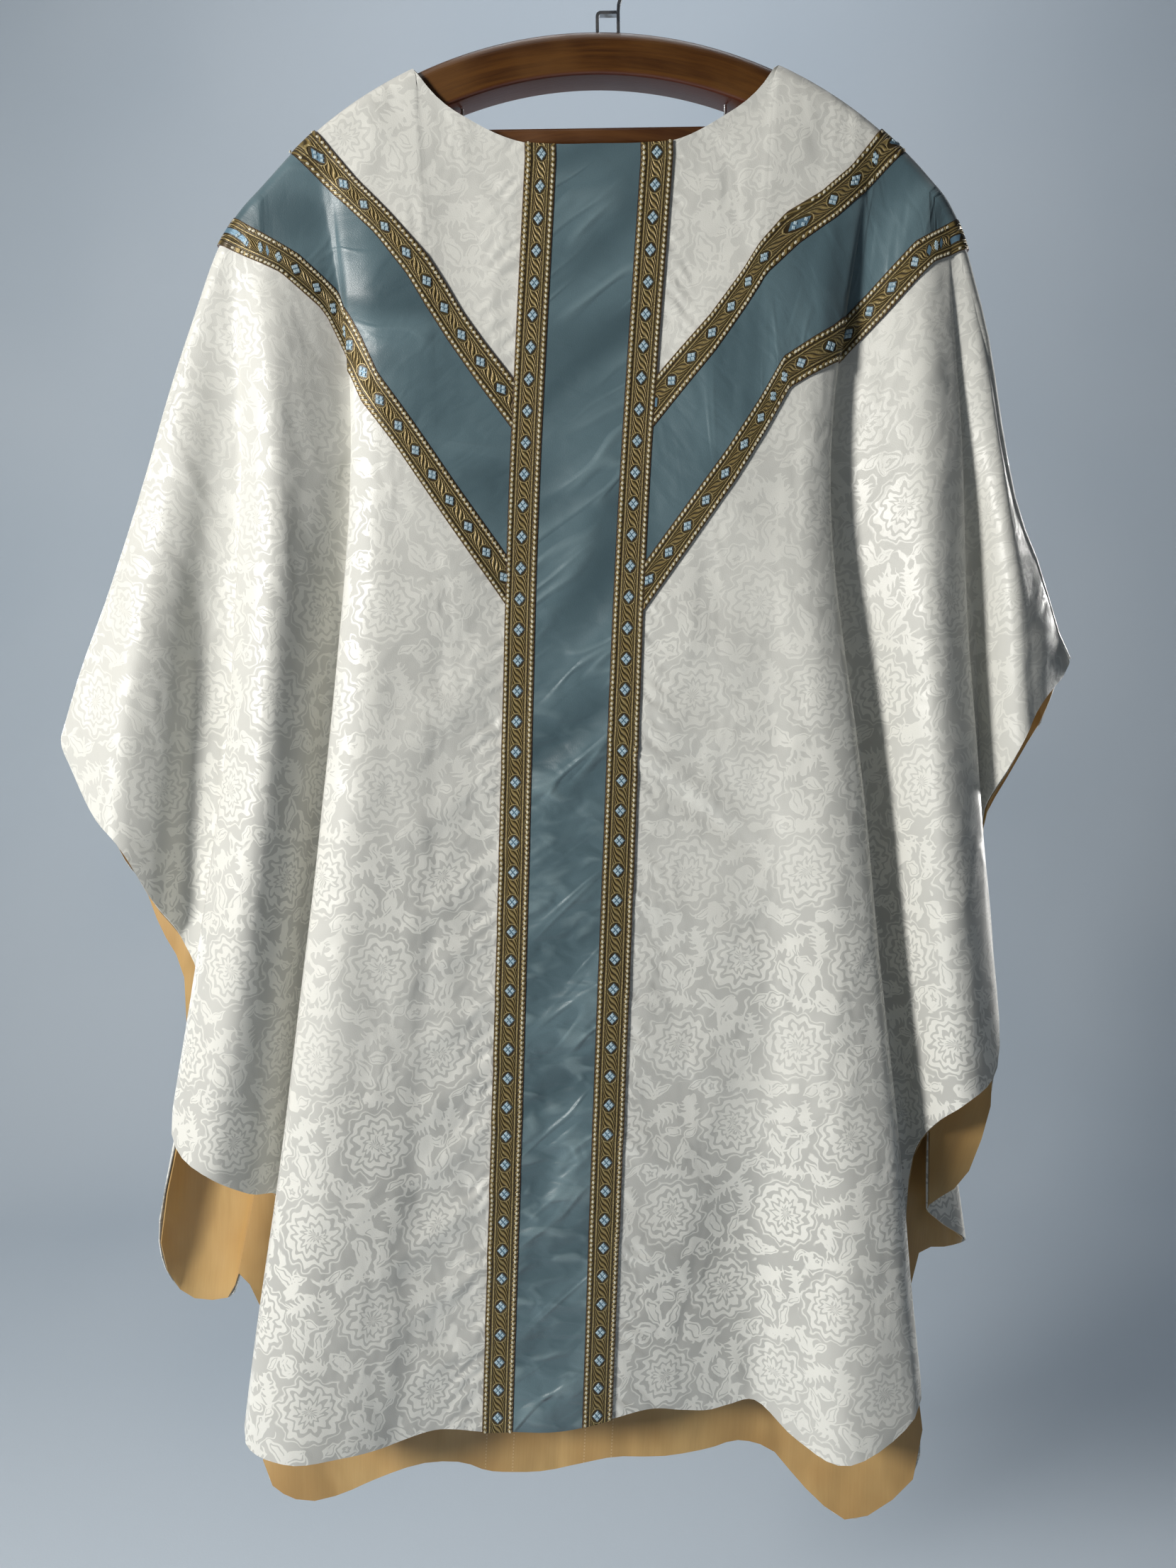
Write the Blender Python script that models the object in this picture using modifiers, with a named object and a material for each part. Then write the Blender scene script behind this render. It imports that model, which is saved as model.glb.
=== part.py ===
"""Semi-Gothic chasuble of ivory damask with a Y-shaped orphrey, hung on an arched wooden vestment hanger.

Lengths are in millimetres here and become metres in the meshes. The hook hangs at the origin, +Z is up and
the front of the chasuble faces -Y.
"""

import math
from collections import namedtuple

import bmesh
import bpy
import numpy as np
from mathutils import Matrix, Vector

MM = 0.001

# Cloth walls, counted outwards from the middle of the garment's two layers
DAMASK_WALL = 1.2
LINING_WALL = 1.0
SATIN_WALL = 1.0
GALLOON_WALL = 1.6
SEAM_GAP = 0.3

# Orphrey: a satin band between two galloons
ORPHREY_WIDTH = 120.0
GALLOON_WIDTH = 26.0

# Bent wooden arch of the hanger, a band of one height all along its arc
ARCH_TOP = -66.0
ARCH_RADIUS = 372.0
ARCH_HEIGHT = 37.0
ARCH_THICKNESS = 32.0
ARCH_HALF_SPAN = 292.0
ARCH_TOP_ROUNDING = 13.0
ARCH_FOOT_ROUNDING = 3.0
ARCH_CENTRE = ARCH_TOP - ARCH_RADIUS

# Trouser bar, the two pins that carry it, and the strap hook
BAR_HALF_LENGTH = 140.0
BAR_MIDDLE = -148.0
BAR_HEIGHT = 14.0
BAR_DEPTH = 16.0
BAR_ROUNDING = 4.5
PIN_PLACE = 110.7
PIN_DIAMETER = 2.4
HOOK_RADIUS = 23.0
HOOK_WIDTH = 6.0
HOOK_THICKNESS = 2.6
HOOK_STEM_END = -35.0
STAPLE_LEFT = 4.0
STAPLE_RIGHT = 21.5
STAPLE_HEIGHT = 17.0

# How the cloth turns over the shoulder line: half its depth front to back and its width square to that
# line, on the arch and at the tip of the sleeve, and how far from the middle the longer sleeve's tip is
CLOTH_RISE = 3.0
TURN_DEPTH_ON_ARCH = 20.5
TURN_WIDTH_ON_ARCH = 12.0
TURN_DEPTH_AT_TIP = 5.0
TURN_WIDTH_AT_TIP = 6.0
TURN_ANGLES = (0, 12, 50, 90)
TIP_REACH = 478.0
ROWS_BELOW_TURN = 9
NECK_ROW_STEP = 4.0

# The shoulder line past the arch's ends, from the tip of each sleeve inwards
ShoulderPoint = namedtuple("ShoulderPoint", "x z")
LEFT_SHOULDER = (
    ShoulderPoint(-478, -646),
    ShoulderPoint(-458, -590),
    ShoulderPoint(-432, -529),
    ShoulderPoint(-408, -468),
    ShoulderPoint(-386, -408),
    ShoulderPoint(-365, -348),
    ShoulderPoint(-342, -290),
    ShoulderPoint(-320, -238),
    ShoulderPoint(-300, -209),
)
RIGHT_SHOULDER = (
    ShoulderPoint(412, -590),
    ShoulderPoint(403, -572),
    ShoulderPoint(383, -511),
    ShoulderPoint(360, -451),
    ShoulderPoint(347, -390),
    ShoulderPoint(336, -328),
    ShoulderPoint(321, -271),
    ShoulderPoint(310, -236),
    ShoulderPoint(298, -211),
)

# The neck edge, the same at front and back
NECK_LEFT = -151.0
NECK_RIGHT = 155.0
NeckPoint = namedtuple("NeckPoint", "x z")
NECK_EDGE = (
    NeckPoint(-148, -99),
    NeckPoint(-136, -115),
    NeckPoint(-98, -143),
    NeckPoint(-58, -159),
    NeckPoint(-32, -161),
    NeckPoint(3, -161),
    NeckPoint(38, -161),
    NeckPoint(65, -159),
    NeckPoint(102, -143),
    NeckPoint(140, -115),
    NeckPoint(152, -99),
)

# Each line runs down the cloth from the shoulder or neck to the hem, along a crest, a valley or a tuck.
# Upper is a quarter of the way down, middle is just past half.
Fold = namedtuple("Fold", "name top_x upper_x upper_y middle_x middle_y hem_x hem_y hem_z")
LINE_STATIONS = (0.0, 0.25, 0.55, 1.0)
FRONT_FOLDS = (
    Fold("left tip", -478, -471, -5, -471, -5, -472, -5, -667),
    Fold("left flare outer", -444, -443, -14, -445, -20, -449, -22, -708),
    Fold("left flare crest", -386, -388, -22, -400, -34, -415, -38, -748),
    Fold("left flare slope", -349, -355, -18, -372, -22, -395, -24, -796),
    Fold("left flare valley", -326, -331, -12, -351, -4, -383, -2, -828),
    Fold("left flute tuck", -315, -307, -12, -314, -6, -366, -8, -871),
    Fold("left flute edge", -301, -299, -22, -323, -26, -388, -35, -999),
    Fold("left flute crest", -283, -269, -34, -284, -50, -346, -60, -1031),
    Fold("left flute slope", -265, -250, -24, -265, -34, -321, -44, -1051),
    Fold("left valley", -245, -217, -10, -251, -10, -304, -18, -1072),
    Fold("left panel tuck", -232, -203, -15, -238, -17, -311, -32, -1189),
    Fold("left panel edge", -215, -209, -28, -246, -44, -324, -72, -1268),
    Fold("left panel round", -198, -190, -36, -221, -55, -287, -88, -1276),
    Fold("left panel outer", -174, -160, -36, -186, -52, -239, -82, -1276),
    Fold("left neck point", -151, -138, -34, -160, -48, -205, -70, -1275),
    Fold("left neck turn", -148, -128, -33, -148, -45, -190, -64, -1273),
    Fold("left neck side", -136, -115, -32, -133, -43, -166, -59, -1268),
    Fold("left neck slope", -98, -95, -31, -113, -40, -142, -55, -1269),
    Fold("left column edge", -58, -77, -30, -93, -38, -118, -52, -1274),
    Fold("left galloon inner", -32, -51, -30, -66, -38, -90, -52, -1274),
    Fold("column centre", 3, -18, -30, -35, -38, -59, -52, -1274),
    Fold("right galloon inner", 38, 16, -30, -3, -38, -28, -50, -1271),
    Fold("right column edge", 65, 42, -30, 25, -37, -1, -48, -1266),
    Fold("right neck slope", 102, 78, -32, 62, -36, 38, -40, -1262),
    Fold("right neck side", 140, 106, -33, 90, -36, 66, -34, -1268),
    Fold("right neck turn", 152, 120, -34, 106, -36, 88, -30, -1271),
    Fold("right neck point", 155, 132, -34, 120, -36, 106, -27, -1268),
    Fold("right panel dip", 178, 147, -34, 143, -38, 131, -26, -1264),
    Fold("right panel outer", 199, 161, -35, 168, -46, 167, -48, -1289),
    Fold("right panel round", 218, 178, -36, 199, -52, 208, -80, -1291),
    Fold("right panel edge", 230, 195, -28, 226, -42, 267, -68, -1257),
    Fold("right panel tuck", 241, 191, -15, 221, -16, 270, -30, -1179),
    Fold("right valley", 254, 216, -10, 239, -8, 280, -14, -1045),
    Fold("right flute slope", 268, 250, -24, 261, -32, 292, -36, -999),
    Fold("right flute crest", 282, 275, -34, 281, -50, 310, -54, -976),
    Fold("right flute edge", 298, 304, -22, 316, -30, 344, -36, -949),
    Fold("right flute tuck", 307, 303, -12, 312, -8, 346, -8, -824),
    Fold("right flare valley", 316, 315, -12, 331, -4, 340, -4, -723),
    Fold("right flare crest", 327, 329, -22, 339, -34, 351, -38, -687),
    Fold("right flare outer", 360, 361, -14, 366, -20, 373, -22, -636),
    Fold("right tip", 412, 405, -5, 405, -5, 404, -5, -606),
)
BACK_FOLDS = (
    Fold("left tip", -478, -471, 5, -471, 5, -472, 5, -667),
    Fold("left flare outer", -444, -446, 10, -448, 14, -446, 16, -741),
    Fold("left flare crest", -386, -392, 20, -404, 28, -425, 30, -787),
    Fold("left flare slope", -349, -358, 18, -375, 22, -409, 24, -826),
    Fold("left flare valley", -315, -325, 16, -345, 16, -387, 16, -870),
    Fold("left flute tuck", -295, -312, 20, -325, 16, -396, 14, -992),
    Fold("left flute edge", -270, -300, 30, -335, 30, -426, 20, -1128),
    Fold("left flute crest", -245, -270, 44, -300, 52, -412, 46, -1195),
    Fold("left flute slope", -225, -240, 40, -265, 44, -370, 40, -1195),
    Fold("left valley", -205, -215, 26, -245, 20, -347, 18, -1160),
    Fold("left panel tuck", -190, -205, 28, -240, 30, -326, 34, -1243),
    Fold("left panel edge", -175, -200, 34, -245, 40, -332, 18, -1368),
    Fold("left panel round", -163, -182, 40, -222, 46, -306, 14, -1386),
    Fold("left neck point", -151, -150, 42, -185, 48, -258, 20, -1384),
    Fold("left neck turn", -148, -138, 42, -168, 48, -229, 18, -1369),
    Fold("left neck side", -136, -122, 42, -146, 46, -190, 14, -1352),
    Fold("left neck slope", -98, -98, 40, -116, 42, -148, 12, -1348),
    Fold("left column edge", -58, -72, 38, -88, 38, -120, 10, -1356),
    Fold("left galloon inner", -32, -46, 38, -62, 38, -96, 10, -1358),
    Fold("column centre", 3, -12, 38, -28, 38, -62, 10, -1357),
    Fold("right galloon inner", 38, 22, 38, 4, 38, -27, 10, -1350),
    Fold("right column edge", 65, 48, 38, 30, 38, 1, 10, -1344),
    Fold("right neck slope", 102, 82, 40, 68, 42, 50, 12, -1345),
    Fold("right neck side", 140, 112, 42, 98, 44, 93, 14, -1339),
    Fold("right neck turn", 152, 128, 42, 118, 44, 121, 18, -1335),
    Fold("right neck point", 155, 142, 42, 136, 44, 148, 22, -1344),
    Fold("right panel outer", 178, 162, 42, 168, 46, 186, 14, -1382),
    Fold("right panel round", 200, 182, 40, 204, 44, 233, 4, -1408),
    Fold("right panel edge", 218, 202, 34, 232, 38, 286, 4, -1367),
    Fold("right panel tuck", 232, 206, 26, 226, 26, 286, 22, -1244),
    Fold("right valley", 245, 222, 24, 242, 20, 294, 24, -1151),
    Fold("right curl back", 258, 244, 34, 262, 42, 326, 30, -1148),
    Fold("right curl turn", 270, 262, 42, 280, 50, 335, 12, -1132),
    Fold("right curl front", 282, 278, 42, 295, 44, 305, -8, -1105),
    Fold("right curl edge", 290, 291, 36, 306, 34, 292, -14, -1085),
    Fold("right sleeve edge", 298, 302, 28, 316, 26, 323, -4, -1070),
    Fold("right sleeve inner", 306, 308, 22, 318, 20, 352, 2, -999),
    Fold("right flare tuck", 313, 318, 18, 328, 18, 340, 14, -836),
    Fold("right flare valley", 322, 328, 18, 338, 20, 346, 16, -733),
    Fold("right flare crest", 336, 340, 24, 348, 28, 374, 26, -690),
    Fold("right flare outer", 366, 368, 12, 376, 16, 396, 14, -643),
    Fold("right tip", 412, 405, 5, 405, 5, 404, 5, -606),
)
COLUMN_LINES = ("left column edge", "left galloon inner", "right galloon inner", "right column edge")

# The arms of the Y, as stations across the band from the shoulder down to the column
ArmStation = namedtuple("ArmStation", "upper_x upper_z lower_x lower_z")
LEFT_ARM = (
    ArmStation(-236, -140, -330, -228),
    ArmStation(-197, -187, -263, -261),
    ArmStation(-170, -215, -230, -290),
    ArmStation(-142, -247, -211, -332),
    ArmStation(-127, -270, -198, -366),
    ArmStation(-113, -294, -170, -405),
    ArmStation(-93, -322, -130, -466),
    ArmStation(-72, -349, -86, -531),
    ArmStation(-40, -394, -40, -600),
)
RIGHT_ARM = (
    ArmStation(242, -146, 328, -240),
    ArmStation(211, -183, 281, -260),
    ArmStation(187, -203, 241, -303),
    ArmStation(157, -220, 207, -336),
    ArmStation(136, -243, 160, -362),
    ArmStation(121, -266, 139, -398),
    ArmStation(94, -301, 113, -439),
    ArmStation(63, -334, 62, -509),
    ArmStation(30, -370, 10, -580),
)


def smooth_through(stations, values, wanted):
    """Values on a smooth curve through the given stations."""
    stations = np.asarray(stations, float)
    values = np.asarray(values, float)
    slopes = np.gradient(values, stations, axis=0)
    at = np.clip(wanted, stations[0], stations[-1])
    span = np.clip(np.searchsorted(stations, at, side="right") - 1, 0, len(stations) - 2)
    width = stations[span + 1] - stations[span]
    s = (at - stations[span]) / width
    start = (1 + 2 * s) * (1 - s) ** 2 * values[span]
    start_slope = s * (1 - s) ** 2 * width * slopes[span]
    end = s**2 * (3 - 2 * s) * values[span + 1]
    end_slope = s**2 * (s - 1) * width * slopes[span + 1]
    return start + start_slope + end + end_slope


def arch_surface(x, radius):
    return ARCH_CENTRE + np.sqrt(radius**2 - np.square(x))


def shoulder_curve():
    """The fold between front and back, over the arch and down to both tips."""
    on_arch = np.arange(-280, 281, 40.0)
    over = [ShoulderPoint(x, arch_surface(x, ARCH_RADIUS + CLOTH_RISE)) for x in on_arch]
    points = np.array(list(LEFT_SHOULDER) + over + list(reversed(RIGHT_SHOULDER)), float)
    return points[:, 0], points[:, 1]


def shoulder_height(x):
    return smooth_through(*shoulder_curve(), x)


def neck_height(x):
    left = NeckPoint(NECK_LEFT, shoulder_height(NECK_LEFT))
    right = NeckPoint(NECK_RIGHT, shoulder_height(NECK_RIGHT))
    points = np.array([left, *NECK_EDGE, right], float)
    return smooth_through(points[:, 0], points[:, 1], x)


def turn_sizes(x):
    """Half the depth of the turn over the shoulder line, and its width, at this place."""
    past_arch = np.clip((abs(x) - ARCH_HALF_SPAN) / (TIP_REACH - ARCH_HALF_SPAN), 0, 1)
    depth = TURN_DEPTH_ON_ARCH + (TURN_DEPTH_AT_TIP - TURN_DEPTH_ON_ARCH) * past_arch
    width = TURN_WIDTH_ON_ARCH + (TURN_WIDTH_AT_TIP - TURN_WIDTH_ON_ARCH) * past_arch
    return depth, width


def square_to_shoulder(x):
    """Unit direction in X and Z, square to the shoulder line and down into the cloth."""
    slope = float(shoulder_height(x + 0.5) - shoulder_height(x - 0.5))
    return np.array([slope, -1.0]) / math.hypot(slope, 1.0)


def line_points(fold, side):
    """Points down one line of the cloth. Side is -1 for the front and 1 for the back."""
    shoulder = float(shoulder_height(fold.top_x))
    on_neck = NECK_LEFT < fold.top_x < NECK_RIGHT
    top = float(neck_height(fold.top_x)) if on_neck else shoulder
    depth, width = turn_sizes(fold.top_x)
    down = square_to_shoulder(fold.top_x)
    first = math.acos(np.clip(1 + (shoulder - top) * down[1] / width, 0, 1))
    unturned = 1 - first / (math.pi / 2)
    angles = first + np.radians(TURN_ANGLES) * unturned
    inwards = width * (math.cos(first) - np.cos(angles))
    steps = NECK_ROW_STEP * np.arange(len(TURN_ANGLES)) * (1 - unturned)
    turn_x = fold.top_x + inwards * down[0]
    turn_y = side * depth * np.sin(angles)
    turn_z = top + inwards * down[1] - steps
    fractions = np.linspace(0, 1, ROWS_BELOW_TURN + 1)[1:]
    x_stations = (turn_x[-1], fold.upper_x, fold.middle_x, fold.hem_x)
    y_stations = (turn_y[-1], fold.upper_y, fold.middle_y, fold.hem_y)
    x = np.concatenate([turn_x, smooth_through(LINE_STATIONS, x_stations, fractions)])
    y = np.concatenate([turn_y, smooth_through(LINE_STATIONS, y_stations, fractions)])
    z = np.concatenate([turn_z, turn_z[-1] + (fold.hem_z - turn_z[-1]) * fractions])
    return np.stack([x, y + side * SEAM_GAP / 2, z], axis=1)


def flat_places(points):
    """How far each line lies from the first, along the cloth half-way down."""
    middle = points[:, points.shape[1] // 2]
    steps = np.linalg.norm(np.diff(middle, axis=0), axis=1)
    return np.concatenate([[0.0], np.cumsum(steps)])


def cloth_sheet(folds, side):
    """The garment's middle surface in triangles. Each corner keeps its place, outward direction and flat place."""
    points = np.array([line_points(fold, side) for fold in folds])
    lines, rows = points.shape[:2]
    flat = flat_places(points)
    bm = bmesh.new()
    bmesh.ops.create_grid(bm, x_segments=lines - 1, y_segments=rows - 1, size=1.0)
    place = bm.verts.layers.float_vector.new("place")
    outward = bm.verts.layers.float_vector.new("outward")
    across = bm.verts.layers.float.new("across")
    for vert in bm.verts:
        line = round((vert.co.x + 1) / 2 * (lines - 1))
        row = round((1 - vert.co.y) / 2 * (rows - 1))
        vert.co = Vector(points[line, row])
        vert[place] = vert.co
        vert[across] = flat[line]
    bmesh.ops.triangulate(bm, faces=bm.faces[:], quad_method="FIXED")
    bm.normal_update()
    if sum(face.normal.y * face.calc_area() for face in bm.faces) * side < 0:
        bmesh.ops.reverse_faces(bm, faces=bm.faces[:])
        bm.normal_update()
    for vert in bm.verts:
        vert[outward] = vert.normal
    return bm, dict(zip([fold.name for fold in folds], flat))


def material(name, colour, roughness, metallic=0.0):
    made = bpy.data.materials.new(name)
    made.use_nodes = True
    shader = made.node_tree.nodes["Principled BSDF"]
    shader.inputs["Base Color"].default_value = (*colour, 1.0)
    shader.inputs["Roughness"].default_value = roughness
    shader.inputs["Metallic"].default_value = metallic
    return made


def add_object(name, mesh, finish, collection):
    mesh.materials.append(finish)
    added = bpy.data.objects.new(name, mesh)
    collection.objects.link(added)
    return added


def mesh_of(bm, name):
    mesh = bpy.data.meshes.new(name)
    bm.to_mesh(mesh)
    bm.free()
    return mesh


def add_layer(name, sheet, offset, wall, finish, collection):
    """A whole panel or lining: the sheet moved out by the offset and given its wall."""
    bm = sheet.copy()
    outward = bm.verts.layers.float_vector["outward"]
    for vert in bm.verts:
        vert.co = (vert.co + vert[outward].normalized() * offset) * MM
    added = add_object(name, mesh_of(bm, name), finish, collection)
    thicken = added.modifiers.new("Cloth wall", "SOLIDIFY")
    thicken.thickness = abs(wall) * MM
    thicken.offset = math.copysign(1, wall)
    return added


def keep_where(bm, layer_name, level, side):
    """Cuts the sheet where a layer has this level and keeps what lies beyond it, on the side given as 1 or -1."""
    layer = bm.verts.layers.float[layer_name]
    place = bm.verts.layers.float_vector["place"]
    across = bm.verts.layers.float["across"]
    for vert in bm.verts:
        vert.co = Vector((vert[across], vert[place].z, side * (vert[layer] - level)))
    bmesh.ops.bisect_plane(
        bm,
        geom=bm.verts[:] + bm.edges[:] + bm.faces[:],
        dist=0.4 * SEAM_GAP,
        plane_co=(0, 0, 0),
        plane_no=(0, 0, 1),
        clear_inner=True,
    )
    bmesh.ops.triangulate(bm, faces=bm.faces[:])


def add_strip(name, sheet, cuts, wall, finish, collection):
    """Trim that lies on a panel: cut from the panel's own points, moved out, and given its wall."""
    bm = sheet.copy()
    for layer_name, level, side in cuts:
        keep_where(bm, layer_name, level, side)
    place = bm.verts.layers.float_vector["place"]
    outward = bm.verts.layers.float_vector["outward"]
    under = SEAM_GAP / 2 + DAMASK_WALL + SEAM_GAP
    for vert in bm.verts:
        vert.co = (vert[place] + vert[outward].normalized() * under) * MM
    made = bmesh.ops.extrude_face_region(bm, geom=bm.faces[:], use_keep_orig=True)
    for vert in made["geom"]:
        if isinstance(vert, bmesh.types.BMVert):
            vert.co += vert[outward].normalized() * wall * MM
    bmesh.ops.recalc_face_normals(bm, faces=bm.faces[:])
    return add_object(name, mesh_of(bm, name), finish, collection)


def arm_edges(stations):
    """The band's outer edges and the two seams inside it, each as x and z along the arm."""
    table = np.array(stations, float)
    if table[0, 0] > table[-1, 0]:
        table = table[::-1]
    share = GALLOON_WIDTH / ORPHREY_WIDTH
    upper = table[:, :2]
    lower = table[:, 2:]
    return [upper + part * (lower - upper) for part in (0.0, share, 1 - share, 1.0)]


def mark_arms(sheet):
    """Keeps, on each corner of the sheet, how far it lies above each edge of each arm."""
    place = sheet.verts.layers.float_vector["place"]
    for hand, stations in (("left", LEFT_ARM), ("right", RIGHT_ARM)):
        for number, edge in enumerate(arm_edges(stations)):
            layer = sheet.verts.layers.float.new(f"{hand} arm edge {number}")
            for vert in sheet.verts:
                vert[layer] = vert[place].z - float(np.interp(vert[place].x, edge[:, 0], edge[:, 1]))


def add_orphrey(prefix, sheet, flat, finishes, collection):
    """The column and both arms of the Y, each a satin band between two galloons."""
    satin = (SATIN_WALL, finishes["orphrey_satin"])
    galloon = (GALLOON_WALL, finishes["galloon"])
    half = SEAM_GAP / 2
    edges = [flat[name] for name in COLUMN_LINES]
    bands = ((f"{prefix}_column_galloon_left", galloon), (f"{prefix}_column_satin", satin))
    bands += ((f"{prefix}_column_galloon_right", galloon),)
    for (name, (wall, finish)), low, high in zip(bands, edges, edges[1:]):
        cuts = [("across", low + half, 1), ("across", high - half, -1)]
        add_strip(name, sheet, cuts, wall, finish, collection)
    slanting = 0.7 * SEAM_GAP
    for hand, beside in (("left", ("across", edges[0] - half, -1)), ("right", ("across", edges[-1] + half, 1))):
        bands = ((f"{prefix}_arm_galloon_upper_{hand}", galloon), (f"{prefix}_arm_satin_{hand}", satin))
        bands += ((f"{prefix}_arm_galloon_lower_{hand}", galloon),)
        for number, (name, (wall, finish)) in enumerate(bands):
            upper = (f"{hand} arm edge {number}", -slanting, -1)
            lower = (f"{hand} arm edge {number + 1}", slanting, 1)
            add_strip(name, sheet, [beside, upper, lower], wall, finish, collection)


def arch_section():
    """Outline of the arch's section as depth and radius, rounded well at the top and a little at the foot."""
    half = ARCH_THICKNESS / 2
    foot = ARCH_RADIUS - ARCH_HEIGHT
    outline = []
    corners = (
        (-half, ARCH_RADIUS, ARCH_TOP_ROUNDING, 180, 90),
        (half, ARCH_RADIUS, ARCH_TOP_ROUNDING, 90, 0),
        (half, foot, ARCH_FOOT_ROUNDING, 0, -90),
        (-half, foot, ARCH_FOOT_ROUNDING, -90, -180),
    )
    for depth, radius, rounding, start, end in corners:
        steps = 3 if rounding == ARCH_TOP_ROUNDING else 1
        middle_y = depth - math.copysign(rounding, depth)
        middle_r = radius - rounding if radius == ARCH_RADIUS else radius + rounding
        for angle in np.radians(np.linspace(start, end, steps + 1)):
            outline.append((middle_y + rounding * math.cos(angle), middle_r + rounding * math.sin(angle)))
    return outline


def add_arch(finish, collection):
    half_angle = math.asin(ARCH_HALF_SPAN / ARCH_RADIUS)
    bm = bmesh.new()
    start = Matrix.Rotation(-half_angle, 4, "Y")
    corners = [bm.verts.new(start @ Vector((0, depth, radius))) for depth, radius in arch_section()]
    section = bm.faces.new(corners)
    bmesh.ops.spin(bm, geom=[section], angle=2 * half_angle, steps=20, axis=(0, 1, 0), cent=(0, 0, 0))
    bmesh.ops.translate(bm, vec=(0, 0, ARCH_CENTRE), verts=bm.verts[:])
    bmesh.ops.scale(bm, vec=(MM, MM, MM), verts=bm.verts[:])
    bmesh.ops.recalc_face_normals(bm, faces=bm.faces[:])
    add_object("hanger_arch", mesh_of(bm, "hanger_arch"), finish, collection)


def add_bar(finish, collection):
    bm = bmesh.new()
    bmesh.ops.create_cube(bm, size=1.0)
    size = (2 * BAR_HALF_LENGTH, BAR_DEPTH, BAR_HEIGHT)
    bmesh.ops.scale(bm, vec=size, verts=bm.verts[:])
    lengthwise = [edge for edge in bm.edges if abs(edge.verts[0].co.x - edge.verts[1].co.x) > 1]
    bmesh.ops.bevel(bm, geom=lengthwise, offset=BAR_ROUNDING, segments=3, profile=0.5, affect="EDGES")
    bmesh.ops.translate(bm, vec=(0, 0, BAR_MIDDLE), verts=bm.verts[:])
    bmesh.ops.scale(bm, vec=(MM, MM, MM), verts=bm.verts[:])
    add_object("hanger_bar", mesh_of(bm, "hanger_bar"), finish, collection)


def add_pin(name, x, finish, collection):
    top = float(arch_surface(x, ARCH_RADIUS - ARCH_HEIGHT)) - SEAM_GAP
    slope_allowance = PIN_DIAMETER / 2 * abs(x) / (ARCH_RADIUS - ARCH_HEIGHT)
    bottom = BAR_MIDDLE + BAR_HEIGHT / 2 + SEAM_GAP
    length = top - slope_allowance - bottom
    bm = bmesh.new()
    bmesh.ops.create_cone(
        bm, cap_ends=True, segments=10, radius1=PIN_DIAMETER / 2, radius2=PIN_DIAMETER / 2, depth=length
    )
    bmesh.ops.translate(bm, vec=(x, 0, bottom + length / 2), verts=bm.verts[:])
    bmesh.ops.scale(bm, vec=(MM, MM, MM), verts=bm.verts[:])
    add_object(name, mesh_of(bm, name), finish, collection)


def strap_outline(path, width):
    """Both sides of a flat path in the X-Z plane, as one closed outline."""
    path = np.array(path, float)
    along = np.gradient(path, axis=0)
    along /= np.linalg.norm(along, axis=1, keepdims=True)
    sideways = np.stack([-along[:, 1], along[:, 0]], axis=1) * width / 2
    return np.concatenate([path + sideways, (path - sideways)[::-1]])


def strap_mesh(name, path):
    outline = strap_outline(path, HOOK_THICKNESS)
    bm = bmesh.new()
    face = bm.faces.new([bm.verts.new((x, -HOOK_WIDTH / 2, z)) for x, z in outline])
    made = bmesh.ops.extrude_face_region(bm, geom=[face], use_keep_orig=True)
    moved = [item for item in made["geom"] if isinstance(item, bmesh.types.BMVert)]
    bmesh.ops.translate(bm, vec=(0, HOOK_WIDTH, 0), verts=moved)
    bmesh.ops.scale(bm, vec=(MM, MM, MM), verts=bm.verts[:])
    bmesh.ops.recalc_face_normals(bm, faces=bm.faces[:])
    return mesh_of(bm, name)


def hook_path():
    """From the right foot up the stem and over the crown to the hook's open end. The crown's inside is at z 0."""
    foot = float(arch_surface(STAPLE_RIGHT + HOOK_THICKNESS / 2, ARCH_RADIUS)) + 2 * SEAM_GAP
    crown = HOOK_RADIUS + HOOK_THICKNESS / 2
    path = [(STAPLE_RIGHT, foot), (STAPLE_RIGHT, ARCH_TOP + STAPLE_HEIGHT), (crown, HOOK_STEM_END)]
    for angle in np.radians(np.linspace(0, 205, 15)):
        path.append((crown * math.cos(angle), crown * math.sin(angle) - HOOK_RADIUS))
    return path


def staple_path():
    """The left foot and the bar that joins it to the stem."""
    foot = float(arch_surface(STAPLE_LEFT, ARCH_RADIUS)) + 2 * SEAM_GAP
    corner = ARCH_TOP + STAPLE_HEIGHT
    return [(STAPLE_LEFT, foot), (STAPLE_LEFT, corner - 3), (STAPLE_LEFT + 3, corner), (STAPLE_RIGHT, corner)]


def add_hook(finish, collection, helpers):
    hook = add_object("hanger_hook", strap_mesh("hanger_hook", hook_path()), finish, collection)
    staple = add_object("staple", strap_mesh("staple", staple_path()), finish, helpers)
    staple.hide_render = True
    staple.display_type = "WIRE"
    join = hook.modifiers.new("Staple", "BOOLEAN")
    join.operation = "UNION"
    join.object = staple


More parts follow.
